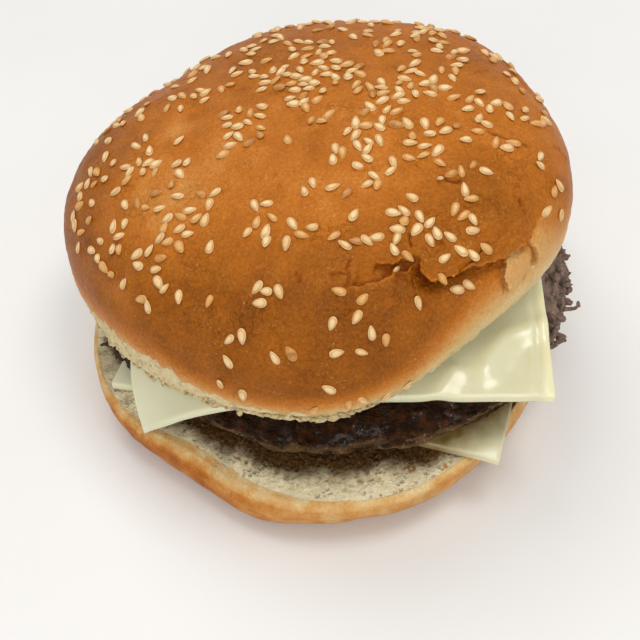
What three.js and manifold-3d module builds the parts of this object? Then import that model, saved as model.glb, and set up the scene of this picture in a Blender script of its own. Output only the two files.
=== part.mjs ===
// A cheeseburger: a seeded bun cut in two, one fried beef patty, and a square cheese slice above and
// below the patty. Millimetres, +Z up, -Y is the front. The origin is the middle of the flat base of
// the bun's lower half, the heel. The filling and the upper half, the crown, sit a little to the right
// and back of it, and the crown leans to the left.
import * as THREE from "three";
import { mergeVertices } from "three/addons/utils/BufferGeometryUtils.js";
import Module from "manifold-3d";

const GAP = 0.3; // clearance between pieces that touch
const DEG = Math.PI / 180;

// Heel: the lower half of the bun, cut side up.
const HEEL = {
  baseRadius: 51.2,
  topRadius: 54.8,
  cutHeight: 14.2, // in the middle of the cut face
  cutSlope: 0.03, // rise of the cut face per mm to the right
  sagFrom: 34, // where the cut face starts to fall towards the rim
  sag: 1.7,
  cheekAt: -130 * DEG, // a pressed-in cheek at the front left
  cheekWidth: 26 * DEG,
  cheekDepth: 6.8,
  cheekDepthAtBase: 2.6,
  toeAt: -106 * DEG, // beside it the base runs out to a blunt toe
  toeWidth: 15 * DEG,
  toeLength: 2.2,
  browAt: -78 * DEG, // and the rim to a blunt brow
  browWidth: 26 * DEG,
  browLength: 1.4,
};

// Patty: an oval disc, thicker on the right.
const PATTY = {
  centre: [5, 8],
  radius: 55.2,
  ovalAt: -27 * DEG,
  oval: 3.8,
  thickness: 10.6,
  wedge: 0.05, // growth of the thickness per mm to the right
  crownFall: 1.6, // fall of the upper face from the middle to the edge
  edgeTaper: 2.4,
  ragged: 0.9,
  flatAt: -158 * DEG, // a flattened stretch of the edge at the left
  flatWidth: 26 * DEG,
  flatDepth: 3,
};

// Cheese: two square slices, one on each side of the patty. Past its support a slice hangs, by a drop
// per mm squared, and draws in, by a share of its size per mm of drop. The front left corner of the
// upper one has folded down onto the heel.
const CHEESE = { thickness: 2.2, cells: 18 };
const LOWER_SLICE = {
  side: 88.5,
  centre: [9, 8.7],
  turn: -20.5 * DEG,
  support: { centre: [0, 0], radius: 50 },
  hangLeft: 0.013,
  hangRight: 0.013,
  drawIn: 0.0027,
};
const UPPER_SLICE = {
  side: 92.5,
  centre: [8.2, 7.7],
  turn: -9.4 * DEG,
  support: { centre: PATTY.centre, radius: 42 },
  hangLeft: 0.0126,
  hangRight: 0.001,
  drawIn: 0.0043,
  fold: { at: [-45.8, -35.4], depth: 12.4, width: 11.2 },
};

// Crown: the upper half of the bun, a flattened dome that leans to the left.
const CROWN = {
  centre: [3, 10.5],
  halfWidth: 54.6,
  halfDepth: 57.5,
  lean: Math.tan(8 * DEG),
  cutHeight: 29.9,
  equatorHeight: 38,
  domeHeight: 27.7,
  squareness: 2.4,
  rimInset: 3.8,
  lobes: [
    { count: 2, size: 0.041, at: -8 * DEG },
    { count: 3, size: 0.016, at: 35 * DEG },
    { count: 4, size: 0.022, at: -8 * DEG },
    { count: 5, size: 0.007, at: 36 * DEG },
    { count: 6, size: 0.018, at: -21 * DEG },
  ],
};

// Tear: the crown's crust has split and slid over itself at the front right.
const TEAR = {
  route: [
    [7, -35],
    [16, -33.5],
    [26, -32],
    [35, -27.5],
    [45, -22],
  ], // on the plan
  steps: 14,
  mouthWidth: 2.6,
  tipWidth: 0.3,
  mouthForward: 1.4, // the mouth lies in front of the route
  tipInward: 2.6, // and the tip behind it, under the crust
  depth: 4.5,
  proud: 1.6, // how far the cutting wedge stands out of the crust
  lip: 1, // how far the crust behind the tear stands up
  lipReach: 6,
};

const clamp01 = (t) => Math.min(1, Math.max(0, t));
const smooth = (from, to, v) => {
  const t = clamp01((v - from) / (to - from));
  return t * t * (3 - 2 * t);
};
const lerp = (a, b, t) => a + (b - a) * t;

// A bump of height 1 at one angle, fading out over a width on each side.
function bump(angle, at, width) {
  const off = Math.atan2(Math.sin(angle - at), Math.cos(angle - at)) / width;
  return Math.exp(-off * off);
}

// Height of the heel's cut face, carried on smoothly past its rim.
function cutFace(x, y) {
  const sag = HEEL.sag * smooth(HEEL.sagFrom, HEEL.topRadius, Math.hypot(x, y));
  return HEEL.cutHeight + HEEL.cutSlope * x - sag;
}

// Distance from the patty's middle to its ragged edge.
function pattyRadius(angle) {
  const coarse = 0.5 * Math.sin(7 * angle + 1.3) + 0.3 * Math.sin(13 * angle);
  const fine = 0.35 * Math.sin(23 * angle + 0.6);
  const oval = PATTY.oval * Math.cos(2 * (angle - PATTY.ovalAt));
  const flat = PATTY.flatDepth * bump(angle, PATTY.flatAt, PATTY.flatWidth);
  return PATTY.radius + oval - flat + PATTY.ragged * (coarse + fine);
}

// Faces of the patty away from its edge.
const pattyBottom = (x, y) => cutFace(x, y) + 2 * GAP + CHEESE.thickness;
function pattyTop(x, y) {
  const reach = Math.hypot(x - PATTY.centre[0], y - PATTY.centre[1]) / PATTY.radius;
  return pattyBottom(x, y) + PATTY.thickness + PATTY.wedge * x - PATTY.crownFall * reach * reach;
}

// Moves every vertex of a geometry by a function of its place.
function reshape(geometry, move) {
  const place = geometry.getAttribute("position");
  const point = new THREE.Vector3();
  for (let i = 0; i < place.count; i++) {
    point.fromBufferAttribute(place, i);
    move(point);
    place.setXYZ(i, point.x, point.y, point.z);
  }
  geometry.computeVertexNormals();
  return geometry;
}

// A closed solid of revolution from [radius, height] pairs, standing on Z.
function turned(profile, segments) {
  const points = profile.map(([r, z]) => new THREE.Vector2(r, z));
  return new THREE.LatheGeometry(points, segments).rotateX(Math.PI / 2);
}

// A geometry as a mesh with its node's name, colour and roughness.
function named(name, geometry, color, roughness) {
  const mesh = new THREE.Mesh(geometry, new THREE.MeshStandardMaterial({ color, roughness, metalness: 0 }));
  mesh.name = name;
  return mesh;
}

// The profile's radii are shares of the heel's radius, and its heights run from 0 at the base to 1 on
// the cut face.
function heel() {
  const profile = [
    [0, 0],
    [0.55, 0],
    [0.93, 0],
    [0.975, 0.1],
    [1, 0.36],
    [1.005, 0.7],
    [0.99, 0.92],
    [0.965, 1],
    [0.9, 1],
    [0.82, 1],
    [0.72, 1],
    [0.6, 1],
    [0.3, 1],
    [0, 1],
  ];
  return reshape(turned(profile, 64), (p) => {
    const angle = Math.atan2(p.y, p.x);
    const up = clamp01(p.z);
    const cheek = bump(angle, HEEL.cheekAt, HEEL.cheekWidth);
    const toe = bump(angle, HEEL.toeAt, HEEL.toeWidth);
    const brow = bump(angle, HEEL.browAt, HEEL.browWidth);
    const low = HEEL.baseRadius - HEEL.cheekDepthAtBase * cheek + HEEL.toeLength * toe;
    const high = HEEL.topRadius - HEEL.cheekDepth * cheek + HEEL.browLength * brow;
    const wobble = 1 + 0.006 * Math.sin(5 * angle + 1) + 0.004 * Math.sin(9 * angle);
    const radius = Math.hypot(p.x, p.y) * lerp(low, high, up ** 0.8) * wobble;
    p.x = radius * Math.cos(angle);
    p.y = radius * Math.sin(angle);
    p.z = up * cutFace(p.x, p.y);
  });
}

function patty() {
  const profile = [
    [0, 0],
    [0.35, 0],
    [0.6, 0],
    [0.72, 0],
    [0.82, 0],
    [0.91, 0.04],
    [0.965, 0.2],
    [1, 0.48],
    [0.985, 0.74],
    [0.93, 0.93],
    [0.82, 1],
    [0.6, 1],
    [0.3, 1],
    [0, 1],
  ];
  return reshape(turned(profile, 72), (p) => {
    const angle = Math.atan2(p.y, p.x);
    const share = Math.hypot(p.x, p.y);
    const radius = share * pattyRadius(angle);
    p.x = PATTY.centre[0] + radius * Math.cos(angle);
    p.y = PATTY.centre[1] + radius * Math.sin(angle);
    const taper = smooth(0.72, 1, share);
    const low = pattyBottom(p.x, p.y) + 0.5 * taper;
    const high = pattyTop(p.x, p.y) - PATTY.edgeTaper * taper;
    p.z = lerp(low, high, p.z);
  });
}

// How far a place lies past a slice's support.
function pastSupport({ support }, x, y) {
  return Math.max(0, Math.hypot(x - support.centre[0], y - support.centre[1]) - support.radius);
}

// How far a slice's folded corner drops at a place.
function foldDrop({ fold }, x, y) {
  if (!fold) return 0;
  const off = Math.hypot(x - fold.at[0], y - fold.at[1]) / fold.width;
  return fold.depth * Math.exp(-off * off);
}

// How far a slice drops below its support's height at a place.
function hang(place, x, y) {
  const steepness = lerp(place.hangLeft, place.hangRight, smooth(-35, 30, x));
  return steepness * pastSupport(place, x, y) ** 2 + foldDrop(place, x, y);
}

// A square slice, turned and laid over a height.
function slice(place, height) {
  const { thickness, cells } = CHEESE;
  const [cx, cy] = place.centre;
  const c = Math.cos(place.turn);
  const s = Math.sin(place.turn);
  const flat = new THREE.BoxGeometry(place.side, place.side, thickness, cells, cells, 1);
  return reshape(flat, (p) => {
    const x = cx + p.x * c - p.y * s;
    const y = cy + p.x * s + p.y * c;
    const shrink = 1 - place.drawIn * hang(place, x, y);
    p.x = lerp(cx, x, shrink);
    p.y = lerp(cy, y, shrink);
    p.z += height(p.x, p.y) + thickness / 2;
  });
}

// Heights of the two slices' undersides.
function lowerHeight(x, y) {
  return cutFace(x, y) + GAP - hang(LOWER_SLICE, x, y);
}

function upperHeight(x, y) {
  const draped = pattyTop(x, y) + GAP - hang(UPPER_SLICE, x, y);
  return Math.min(draped, crownUnderside(x, y) - 2 * GAP - CHEESE.thickness);
}

// Size of the crown's lobed outline in one direction, where 1 is its plain oval.
function crownOutline(angle) {
  return CROWN.lobes.reduce((r, { count, size, at }) => r + size * Math.cos(count * (angle - at)), 1);
}

// Share of the way from the crown's middle to its outline of a place on the plan.
function crownShare(x, y) {
  const across = (x - CROWN.centre[0]) / CROWN.halfWidth;
  const along = (y - CROWN.centre[1]) / CROWN.halfDepth;
  return Math.hypot(across, along) / crownOutline(Math.atan2(along, across));
}

// Rise of the leaning crown at a place, from its middle.
const lean = (x) => CROWN.lean * (x - CROWN.centre[0]);

// Height of the crown's cut face, which lies on the filling and straightens out towards its rim.
function crownUnderside(x, y) {
  const filling = pattyTop(x, y) + 3 * GAP + CHEESE.thickness;
  return lerp(filling, CROWN.cutHeight + lean(x), smooth(0.76, 0.92, crownShare(x, y)));
}

// Height of the smooth dome over a place on the plan.
function domeHeight(x, y) {
  const level = (1 - Math.min(crownShare(x, y), 1) ** CROWN.squareness) ** (1 / CROWN.squareness);
  return CROWN.equatorHeight + lean(x) + CROWN.domeHeight * level;
}

const tearRoute = new THREE.CatmullRomCurve3(TEAR.route.map(([x, y]) => new THREE.Vector3(x, y, 0)));

// How far the crust stands up beside the tear, on the side towards the middle of the crown.
function lipRise(x, y) {
  let nearest = Infinity;
  let behind = false;
  let at = 0;
  for (let i = 0; i <= TEAR.steps; i++) {
    const point = tearRoute.getPoint(i / TEAR.steps);
    const distance = Math.hypot(x - point.x, y - point.y);
    if (distance < nearest) {
      nearest = distance;
      behind = y > point.y - 0.5;
      at = i / TEAR.steps;
    }
  }
  const fade = smooth(0, 0.2, at) * smooth(1, 0.8, at);
  return behind ? TEAR.lip * fade * Math.exp(-((nearest / TEAR.lipReach) ** 2)) : 0;
}

// The profile's radii are shares of the crown's outline. Its heights are -1 at the cut edge, 0 at the
// widest ring and 1 at the top of the dome. The first points are the cut face.
function dome() {
  const profile = [
    [0, -1],
    [0.4, -1],
    [0.66, -1],
    [0.77, -1],
    [0.82, -1],
    [0.87, -1],
    [1 - CROWN.rimInset / CROWN.halfWidth, -1],
    [0.968, -0.78],
    [0.99, -0.42],
  ];
  const rings = 14;
  const power = 2 / CROWN.squareness;
  for (let i = 0; i < rings; i++) {
    const turn = (i / rings) * (Math.PI / 2);
    profile.push([Math.cos(turn) ** power, Math.sin(turn) ** power]);
  }
  profile.push([0, 1]);
  return reshape(turned(profile, 76), (p) => {
    const outline = crownOutline(Math.atan2(p.y, p.x));
    const level = p.z;
    p.x = CROWN.centre[0] + CROWN.halfWidth * outline * p.x;
    p.y = CROWN.centre[1] + CROWN.halfDepth * outline * p.y;
    const equator = CROWN.equatorHeight + lean(p.x);
    if (level >= 0) p.z = equator + CROWN.domeHeight * level + lipRise(p.x, p.y);
    else p.z = lerp(equator, crownUnderside(p.x, p.y), -level);
  });
}

// The gap under the tear's lip: a wedge bent along the route, which closes towards both ends.
function tearGap() {
  return reshape(new THREE.BoxGeometry(1, 1, 1, TEAR.steps, 1, 1), (p) => {
    const along = p.x + 0.5;
    const isMouth = p.z > 0;
    const open = Math.sin(Math.PI * lerp(0.04, 0.96, along));
    const width = isMouth ? TEAR.mouthWidth * open : TEAR.tipWidth;
    const inward = p.y * width + (isMouth ? -TEAR.mouthForward : TEAR.tipInward);
    const place = tearRoute.getPoint(along);
    const heading = tearRoute.getTangent(along);
    p.x = place.x - heading.y * inward;
    p.y = place.y + heading.x * inward;
    p.z = domeHeight(place.x, place.y) + (isMouth ? TEAR.proud : -TEAR.depth * lerp(0.3, 1, open));
  });
}

// A closed geometry as a solid for boolean cuts.
function solidOf(wasm, geometry) {
  const bare = new THREE.BufferGeometry();
  bare.setAttribute("position", geometry.getAttribute("position"));
  bare.setIndex(geometry.getIndex());
  const welded = mergeVertices(bare);
  const vertProperties = welded.getAttribute("position").array;
  const triVerts = new Uint32Array(welded.getIndex().array);
  return new wasm.Manifold(new wasm.Mesh({ numProp: 3, vertProperties, triVerts }));
}

// The dome with the tear cut into it.
async function crown() {
  const wasm = await Module();
  wasm.setup();
  const torn = solidOf(wasm, dome()).subtract(solidOf(wasm, tearGap())).getMesh();
  const geometry = new THREE.BufferGeometry();
  geometry.setAttribute("position", new THREE.BufferAttribute(torn.vertProperties, 3));
  geometry.setIndex(new THREE.BufferAttribute(torn.triVerts, 1));
  geometry.computeVertexNormals();
  return geometry;
}

const burger = new THREE.Group();
burger.add(
  named("bun_heel", heel(), 0xd9a566, 0.75),
  named("cheese_lower", slice(LOWER_SLICE, lowerHeight), 0xe3dcae, 0.35),
  named("patty", patty(), 0x2e1c16, 0.6),
  named("cheese_upper", slice(UPPER_SLICE, upperHeight), 0xe3dcae, 0.35),
  named("bun_crown", await crown(), 0xb5702c, 0.5),
);

export default burger;
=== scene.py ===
"""A cheeseburger: a seeded bun cut in two, one fried beef patty and two slices of white cheese.

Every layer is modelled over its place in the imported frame. Sizes are in millimetres until a mesh is
written, +Z is up and -Y is the front.
"""

import logging
import math
from collections.abc import Iterable, Sequence
from dataclasses import dataclass
from enum import Enum

import bmesh
import bpy
import numpy as np
from mathutils import Matrix, Vector, noise
from mathutils.bvhtree import BVHTree


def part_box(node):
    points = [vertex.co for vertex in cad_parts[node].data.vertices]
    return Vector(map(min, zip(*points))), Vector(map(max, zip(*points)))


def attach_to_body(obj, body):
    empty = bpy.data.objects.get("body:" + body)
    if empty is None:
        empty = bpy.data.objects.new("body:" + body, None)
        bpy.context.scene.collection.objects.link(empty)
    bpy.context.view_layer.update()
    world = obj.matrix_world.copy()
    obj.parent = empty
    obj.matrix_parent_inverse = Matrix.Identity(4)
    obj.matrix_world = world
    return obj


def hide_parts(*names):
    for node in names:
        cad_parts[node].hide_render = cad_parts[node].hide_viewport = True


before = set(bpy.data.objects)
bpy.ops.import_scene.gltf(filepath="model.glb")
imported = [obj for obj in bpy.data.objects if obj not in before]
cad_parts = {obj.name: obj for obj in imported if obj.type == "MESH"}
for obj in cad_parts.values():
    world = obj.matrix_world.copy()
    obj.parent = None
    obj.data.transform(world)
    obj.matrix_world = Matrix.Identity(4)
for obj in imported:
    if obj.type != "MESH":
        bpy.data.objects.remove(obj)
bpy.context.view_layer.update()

LOG = logging.getLogger("cheeseburger")
MM = 0.001

Array = np.ndarray
Point = tuple[float, float, float]
Colour = tuple[float, float, float, float]


class Slot(Enum):
    """Material slots of the record."""

    BUN = "bun"
    CHEESE = "cheese"
    BEEF = "beef"
    SESAME = "sesame"
    CRUMB = "crumb"


class Raised(Enum):
    """The side of a tear that stands up, seen along its route."""

    LEFT = 1
    RIGHT = -1


# ---------------------------------------------------------------- numbers over many points


def smooth(start: float, end: float, value: Array) -> Array:
    """Ease from 0 at the start to 1 at the end."""
    t = np.clip((value - start) / (end - start), 0, 1)
    return t * t * (3 - 2 * t)


def lerp(low: Array, high: Array, share: Array) -> Array:
    """Blend from low to high."""
    return low + (high - low) * share


def bell(value: Array, width: float) -> Array:
    """A bump of height 1 that fades out over a width."""
    return np.exp(-((value / width) ** 2))


def bell_at(angle: Array, at_deg: float, width_deg: float) -> Array:
    """A bump round one angle of a circle."""
    off = np.arctan2(np.sin(angle - math.radians(at_deg)), np.cos(angle - math.radians(at_deg)))
    return bell(off, math.radians(width_deg))


def fractal(points: Array, size: float | Sequence[float], octaves: int = 3, seed: int = 0) -> Array:
    """Soft random relief.

    Args:
        points: Places, one row each.
        size: Size of the largest lumps, or one size for each axis.
        octaves: Number of ever finer layers.
        seed: Picks a different relief.

    Returns:
        One number for each place, mostly from -1 to 1.
    """
    shift = 17.3 * seed
    scaled = points / np.asarray(size, float) + shift
    return np.array([noise.fractal(p, 1.0, 2.0, octaves) for p in scaled])


def cells(points: Array, size: float, seed: int = 0) -> tuple[Array, Array]:
    """Random cells like the bubbles in bread.

    Args:
        points: Places, one row each.
        size: Typical size of a cell.
        seed: Picks different cells.

    Returns:
        The distance from the nearest cell's middle and from its wall, as shares of the size.
    """
    scaled = points / size + 11.7 * seed
    found = np.array([noise.voronoi(p)[0][:2] for p in scaled])
    return found[:, 0], found[:, 1] - found[:, 0]


def corners(node: str) -> tuple[Array, Array]:
    """Lowest and highest corner of a CAD node, in millimetres."""
    low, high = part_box(node)
    return np.array(low) / MM, np.array(high) / MM


# ---------------------------------------------------------------- meshes


class Form:
    """A mesh that is being shaped, with its points and outward directions in millimetres."""

    def __init__(self, name: str, blank: bmesh.types.BMesh) -> None:
        """Take over a blank.

        Args:
            name: Name of the piece.
            blank: The blank, which is used up.
        """
        self.mesh = bpy.data.meshes.new(name)
        blank.to_mesh(self.mesh)
        blank.free()
        self.name = name
        self.points = np.zeros((len(self.mesh.vertices), 3), np.float32)
        self.mesh.vertices.foreach_get("co", self.points.ravel())
        self.points = self.points.astype(float)
        self.outward = np.zeros_like(self.points)

    def settle(self, node: str) -> None:
        """Bring the shape's box onto a CAD node's box."""
        low, high = corners(node)
        own_low, own_high = self.points.min(0), self.points.max(0)
        self.points = low + (self.points - own_low) * (high - low) / (own_high - own_low)
        self.refresh()

    def refresh(self) -> None:
        """Write the points to the mesh and read its outward directions again."""
        self.mesh.vertices.foreach_set("co", (self.points * MM).astype(np.float32).ravel())
        self.mesh.update()
        found = np.zeros(len(self.points) * 3, np.float32)
        self.mesh.vertex_normals.foreach_get("vector", found)
        self.outward = found.reshape(-1, 3).astype(float)

    def push(self, amount: Array) -> None:
        """Move every point outward by its amount."""
        self.points += self.outward * amount[:, None]

    def paint(self, name: str, values: Array) -> None:
        """Store a number for each point, which the finish reads."""
        layer = self.mesh.attributes.new(name, "FLOAT", "POINT")
        layer.data.foreach_set("value", values.astype(np.float32))

    def done(self, material: bpy.types.Material) -> bpy.types.Object:
        """Turn the form into an object with a finish.

        Args:
            material: The finish.

        Returns:
            The object, at the origin.
        """
        self.refresh()
        self.mesh.polygons.foreach_set("use_smooth", [True] * len(self.mesh.polygons))
        self.mesh.materials.append(material)
        piece = bpy.data.objects.new(self.name, self.mesh)
        bpy.context.scene.collection.objects.link(piece)
        return piece


def attach(piece: bpy.types.Object, slot: Slot, node: str | None = None) -> None:
    """Let a finished piece ride on the body, hide the CAD node it stands for, and log its slot.

    Args:
        piece: The piece.
        slot: The record's material slot.
        node: The CAD node that the piece stands for, if any.
    """
    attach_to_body(piece, "root")
    if node is not None:
        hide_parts(node)
    LOG.info("%s: %d faces, slot %s", piece.name, len(piece.data.polygons), slot.value)


def spun(
    profile: Sequence[tuple[float, float]], density: Sequence[int], steps: int, cuts: int
) -> bmesh.types.BMesh:
    """A closed solid of revolution.

    Args:
        profile: Radius and height of each corner, from the axis at the base to the axis at the top.
        density: Number of rings from each corner to the next.
        steps: Number of steps round the axis.
        cuts: Number of cuts that divide each step further.

    Returns:
        The solid, with its poles closed and its faces pointing out.
    """
    blank = bmesh.new()
    for start, end, rings in zip(profile, profile[1:], density):
        pair = [blank.verts.new((radius, 0, height)) for radius, height in (start, end)]
        bmesh.ops.subdivide_edges(blank, edges=[blank.edges.new(pair)], cuts=rings - 1)
    bmesh.ops.remove_doubles(blank, verts=blank.verts, dist=1e-6)
    outline = blank.verts[:] + blank.edges[:]
    bmesh.ops.spin(
        blank, geom=outline, cent=(0, 0, 0), axis=(0, 0, 1), angle=math.tau, steps=steps, use_merge=True
    )
    bmesh.ops.remove_doubles(blank, verts=blank.verts, dist=1e-6)
    round_edges = [e for e in blank.edges if runs_round(e)]
    bmesh.ops.subdivide_edges(blank, edges=round_edges, cuts=cuts, use_grid_fill=True)
    bmesh.ops.recalc_face_normals(blank, faces=blank.faces)
    return blank


def runs_round(edge: bmesh.types.BMEdge) -> bool:
    """Whether an edge runs round the Z axis rather than along a profile."""
    first, second = (vert.co for vert in edge.verts)
    return abs(first.z - second.z) < 1e-6 and abs(first.xy.length - second.xy.length) < 1e-5


class Heap:
    """Many copies of one small shape, joined into one piece."""

    def __init__(self, pattern: bmesh.types.BMesh) -> None:
        """Take over the shape to copy."""
        self.pattern = np.array([v.co[:] for v in pattern.verts])
        self.faces = [tuple(v.index for v in f.verts) for f in pattern.faces]
        self.copies: list[Array] = []
        pattern.free()

    def form(self, name: str) -> Form:
        """Join the copies.

        Args:
            name: Name of the piece.

        Returns:
            The joined form.
        """
        size = len(self.pattern)
        faces = [
            tuple(index + size * copy for index in face)
            for copy in range(len(self.copies))
            for face in self.faces
        ]
        mesh = bpy.data.meshes.new(name + "_parts")
        mesh.from_pydata(np.concatenate(self.copies).tolist(), [], faces)
        blank = bmesh.new()
        blank.from_mesh(mesh)
        bpy.data.meshes.remove(mesh)
        return Form(name, blank)

    def each(self, values: Iterable[float]) -> Array:
        """One number for each copy, spread over its points."""
        return np.repeat(list(values), len(self.pattern))


# ---------------------------------------------------------------- finishes


def srgb(red: int, green: int, blue: int) -> Colour:
    """A linear colour from the usual 0 to 255 values."""
    def linear(level: int) -> float:
        share = level / 255
        return share / 12.92 if share <= 0.04045 else ((share + 0.055) / 1.055) ** 2.4

    return (linear(red), linear(green), linear(blue), 1.0)


class Signal:
    """A number that varies over a surface, for use in Python expressions."""

    def __init__(self, graph: "Graph", socket: bpy.types.NodeSocket) -> None:
        """Wrap a socket of a graph."""
        self.graph = graph
        self.socket = socket

    def _math(self, operation: str, *values: object) -> "Signal":
        """Add a Math node on the values."""
        inputs = dict(enumerate(values))
        return Signal(self.graph, self.graph.node("ShaderNodeMath", {"operation": operation}, inputs))

    def __add__(self, other: object) -> "Signal":
        """Sum."""
        return self._math("ADD", self, other)

    def __radd__(self, other: object) -> "Signal":
        """Sum, reflected."""
        return self._math("ADD", other, self)

    def __sub__(self, other: object) -> "Signal":
        """Difference."""
        return self._math("SUBTRACT", self, other)

    def __rsub__(self, other: object) -> "Signal":
        """Difference, reflected."""
        return self._math("SUBTRACT", other, self)

    def __mul__(self, other: object) -> "Signal":
        """Product."""
        return self._math("MULTIPLY", self, other)

    def __rmul__(self, other: object) -> "Signal":
        """Product, reflected."""
        return self._math("MULTIPLY", other, self)

    def __truediv__(self, other: object) -> "Signal":
        """Quotient."""
        return self._math("DIVIDE", self, other)

    def __rtruediv__(self, other: object) -> "Signal":
        """Quotient, reflected."""
        return self._math("DIVIDE", other, self)

    def __pow__(self, other: object) -> "Signal":
        """Power."""
        return self._math("POWER", self, other)

    def step(self, start: float, end: float) -> "Signal":
        """Ease from 0 at the start to 1 at the end."""
        settings = {"interpolation_type": "SMOOTHSTEP"}
        inputs = {"Value": self, "From Min": start, "From Max": end}
        return Signal(self.graph, self.graph.node("ShaderNodeMapRange", settings, inputs))

    def clamp(self) -> "Signal":
        """Limit to 0 to 1."""
        return Signal(self.graph, self.graph.node("ShaderNodeClamp", {}, {"Value": self}))


class Graph:
    """The nodes of one material."""

    def __init__(self, name: str) -> None:
        """Start an empty material."""
        self.material = bpy.data.materials.new(name)
        self.material.use_nodes = True
        self.material.node_tree.nodes.clear()
        self.place = self.node("ShaderNodeTexCoord", output="Object")

    def node(
        self,
        kind: str,
        settings: dict[str, object] | None = None,
        inputs: dict[str | int, object] | None = None,
        output: str | int = 0,
    ) -> bpy.types.NodeSocket:
        """Add a node.

        Args:
            kind: The node's type.
            settings: Its settings, set first. A ramp's stops are pairs of position and colour.
            inputs: Values or links of its sockets.
            output: The socket to return.

        Returns:
            One of its output sockets.
        """
        made = self.material.node_tree.nodes.new(kind)
        for name, value in (settings or {}).items():
            if name == "stops":
                self._set_stops(made.color_ramp, value)
            else:
                setattr(made, name, value)
        for key, value in (inputs or {}).items():
            self._feed(made.inputs[key], value)
        return made.outputs[output]

    def _feed(self, socket: bpy.types.NodeSocket, value: object) -> None:
        """Link a socket, or set its value."""
        if isinstance(value, Signal):
            value = value.socket
        if isinstance(value, bpy.types.NodeSocket):
            self.material.node_tree.links.new(value, socket)
        else:
            socket.default_value = value

    @staticmethod
    def _set_stops(ramp: bpy.types.ColorRamp, stops: Sequence[tuple[float, Colour]]) -> None:
        """Give a colour ramp its stops."""
        while len(ramp.elements) < len(stops):
            ramp.elements.new(0.5)
        for element, (position, colour) in zip(ramp.elements, stops):
            element.position = position
            element.color = colour

    def attribute(self, name: str) -> Signal:
        """A number stored on the piece's points."""
        settings = {"attribute_name": name}
        return Signal(self, self.node("ShaderNodeAttribute", settings, output="Fac"))

    def shifted(self, seed: int, stretch: Point = (1, 1, 1)) -> bpy.types.NodeSocket:
        """Object coordinates, shifted for a seed and stretched."""
        shift = (0.37 * seed, 0.11 * seed, 0.23 * seed)
        inputs = {"Vector": self.place, "Location": shift, "Scale": stretch}
        return self.node("ShaderNodeMapping", {}, inputs)

    def noise(
        self, size: float, detail: float = 3, seed: int = 0, stretch: Point = (1, 1, 1), rough: float = 0.55
    ) -> Signal:
        """Soft random relief from 0 to 1, with lumps of a size in millimetres."""
        inputs = {
            "Vector": self.shifted(seed, stretch),
            "Scale": 1 / (size * MM),
            "Detail": detail,
            "Roughness": rough,
        }
        return Signal(self, self.node("ShaderNodeTexNoise", {}, inputs))

    def cells(self, size: float, seed: int = 0, feature: str = "F1") -> Signal:
        """Random cells of a size in millimetres: the distance from a middle or from a wall."""
        inputs = {"Vector": self.shifted(seed), "Scale": 1 / (size * MM)}
        return Signal(self, self.node("ShaderNodeTexVoronoi", {"feature": feature}, inputs))

    def mix(self, share: object, low: object, high: object, blend: str = "MIX") -> bpy.types.NodeSocket:
        """Mix two colours."""
        settings = {"data_type": "RGBA", "blend_type": blend}
        return self.node("ShaderNodeMix", settings, {0: share, 6: low, 7: high}, output=2)

    def ramp(self, share: Signal, stops: Sequence[tuple[float, Colour]]) -> bpy.types.NodeSocket:
        """A colour from a ramp."""
        return self.node("ShaderNodeValToRGB", {"stops": stops}, {"Fac": share}, output="Color")

    def bump(self, height: Signal, depth: float, strength: float = 1.0) -> bpy.types.NodeSocket:
        """Fine relief of a depth in millimetres."""
        inputs = {"Height": height, "Distance": depth * MM, "Strength": strength}
        return self.node("ShaderNodeBump", {}, inputs, output="Normal")

    def surface(self, **inputs: object) -> bpy.types.Material:
        """Close the material with a Principled shader.

        Args:
            inputs: Its sockets by name, with underscores for spaces.

        Returns:
            The material.
        """
        named = {name.replace("_", " "): value for name, value in inputs.items()}
        shader = self.node("ShaderNodeBsdfPrincipled", {}, named, output="BSDF")
        self.node_out(shader)
        return self.material

    def node_out(self, shader: bpy.types.NodeSocket) -> None:
        """Link a shader to the material's output."""
        out = self.material.node_tree.nodes.new("ShaderNodeOutputMaterial")
        self.material.node_tree.links.new(shader, out.inputs["Surface"])


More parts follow.
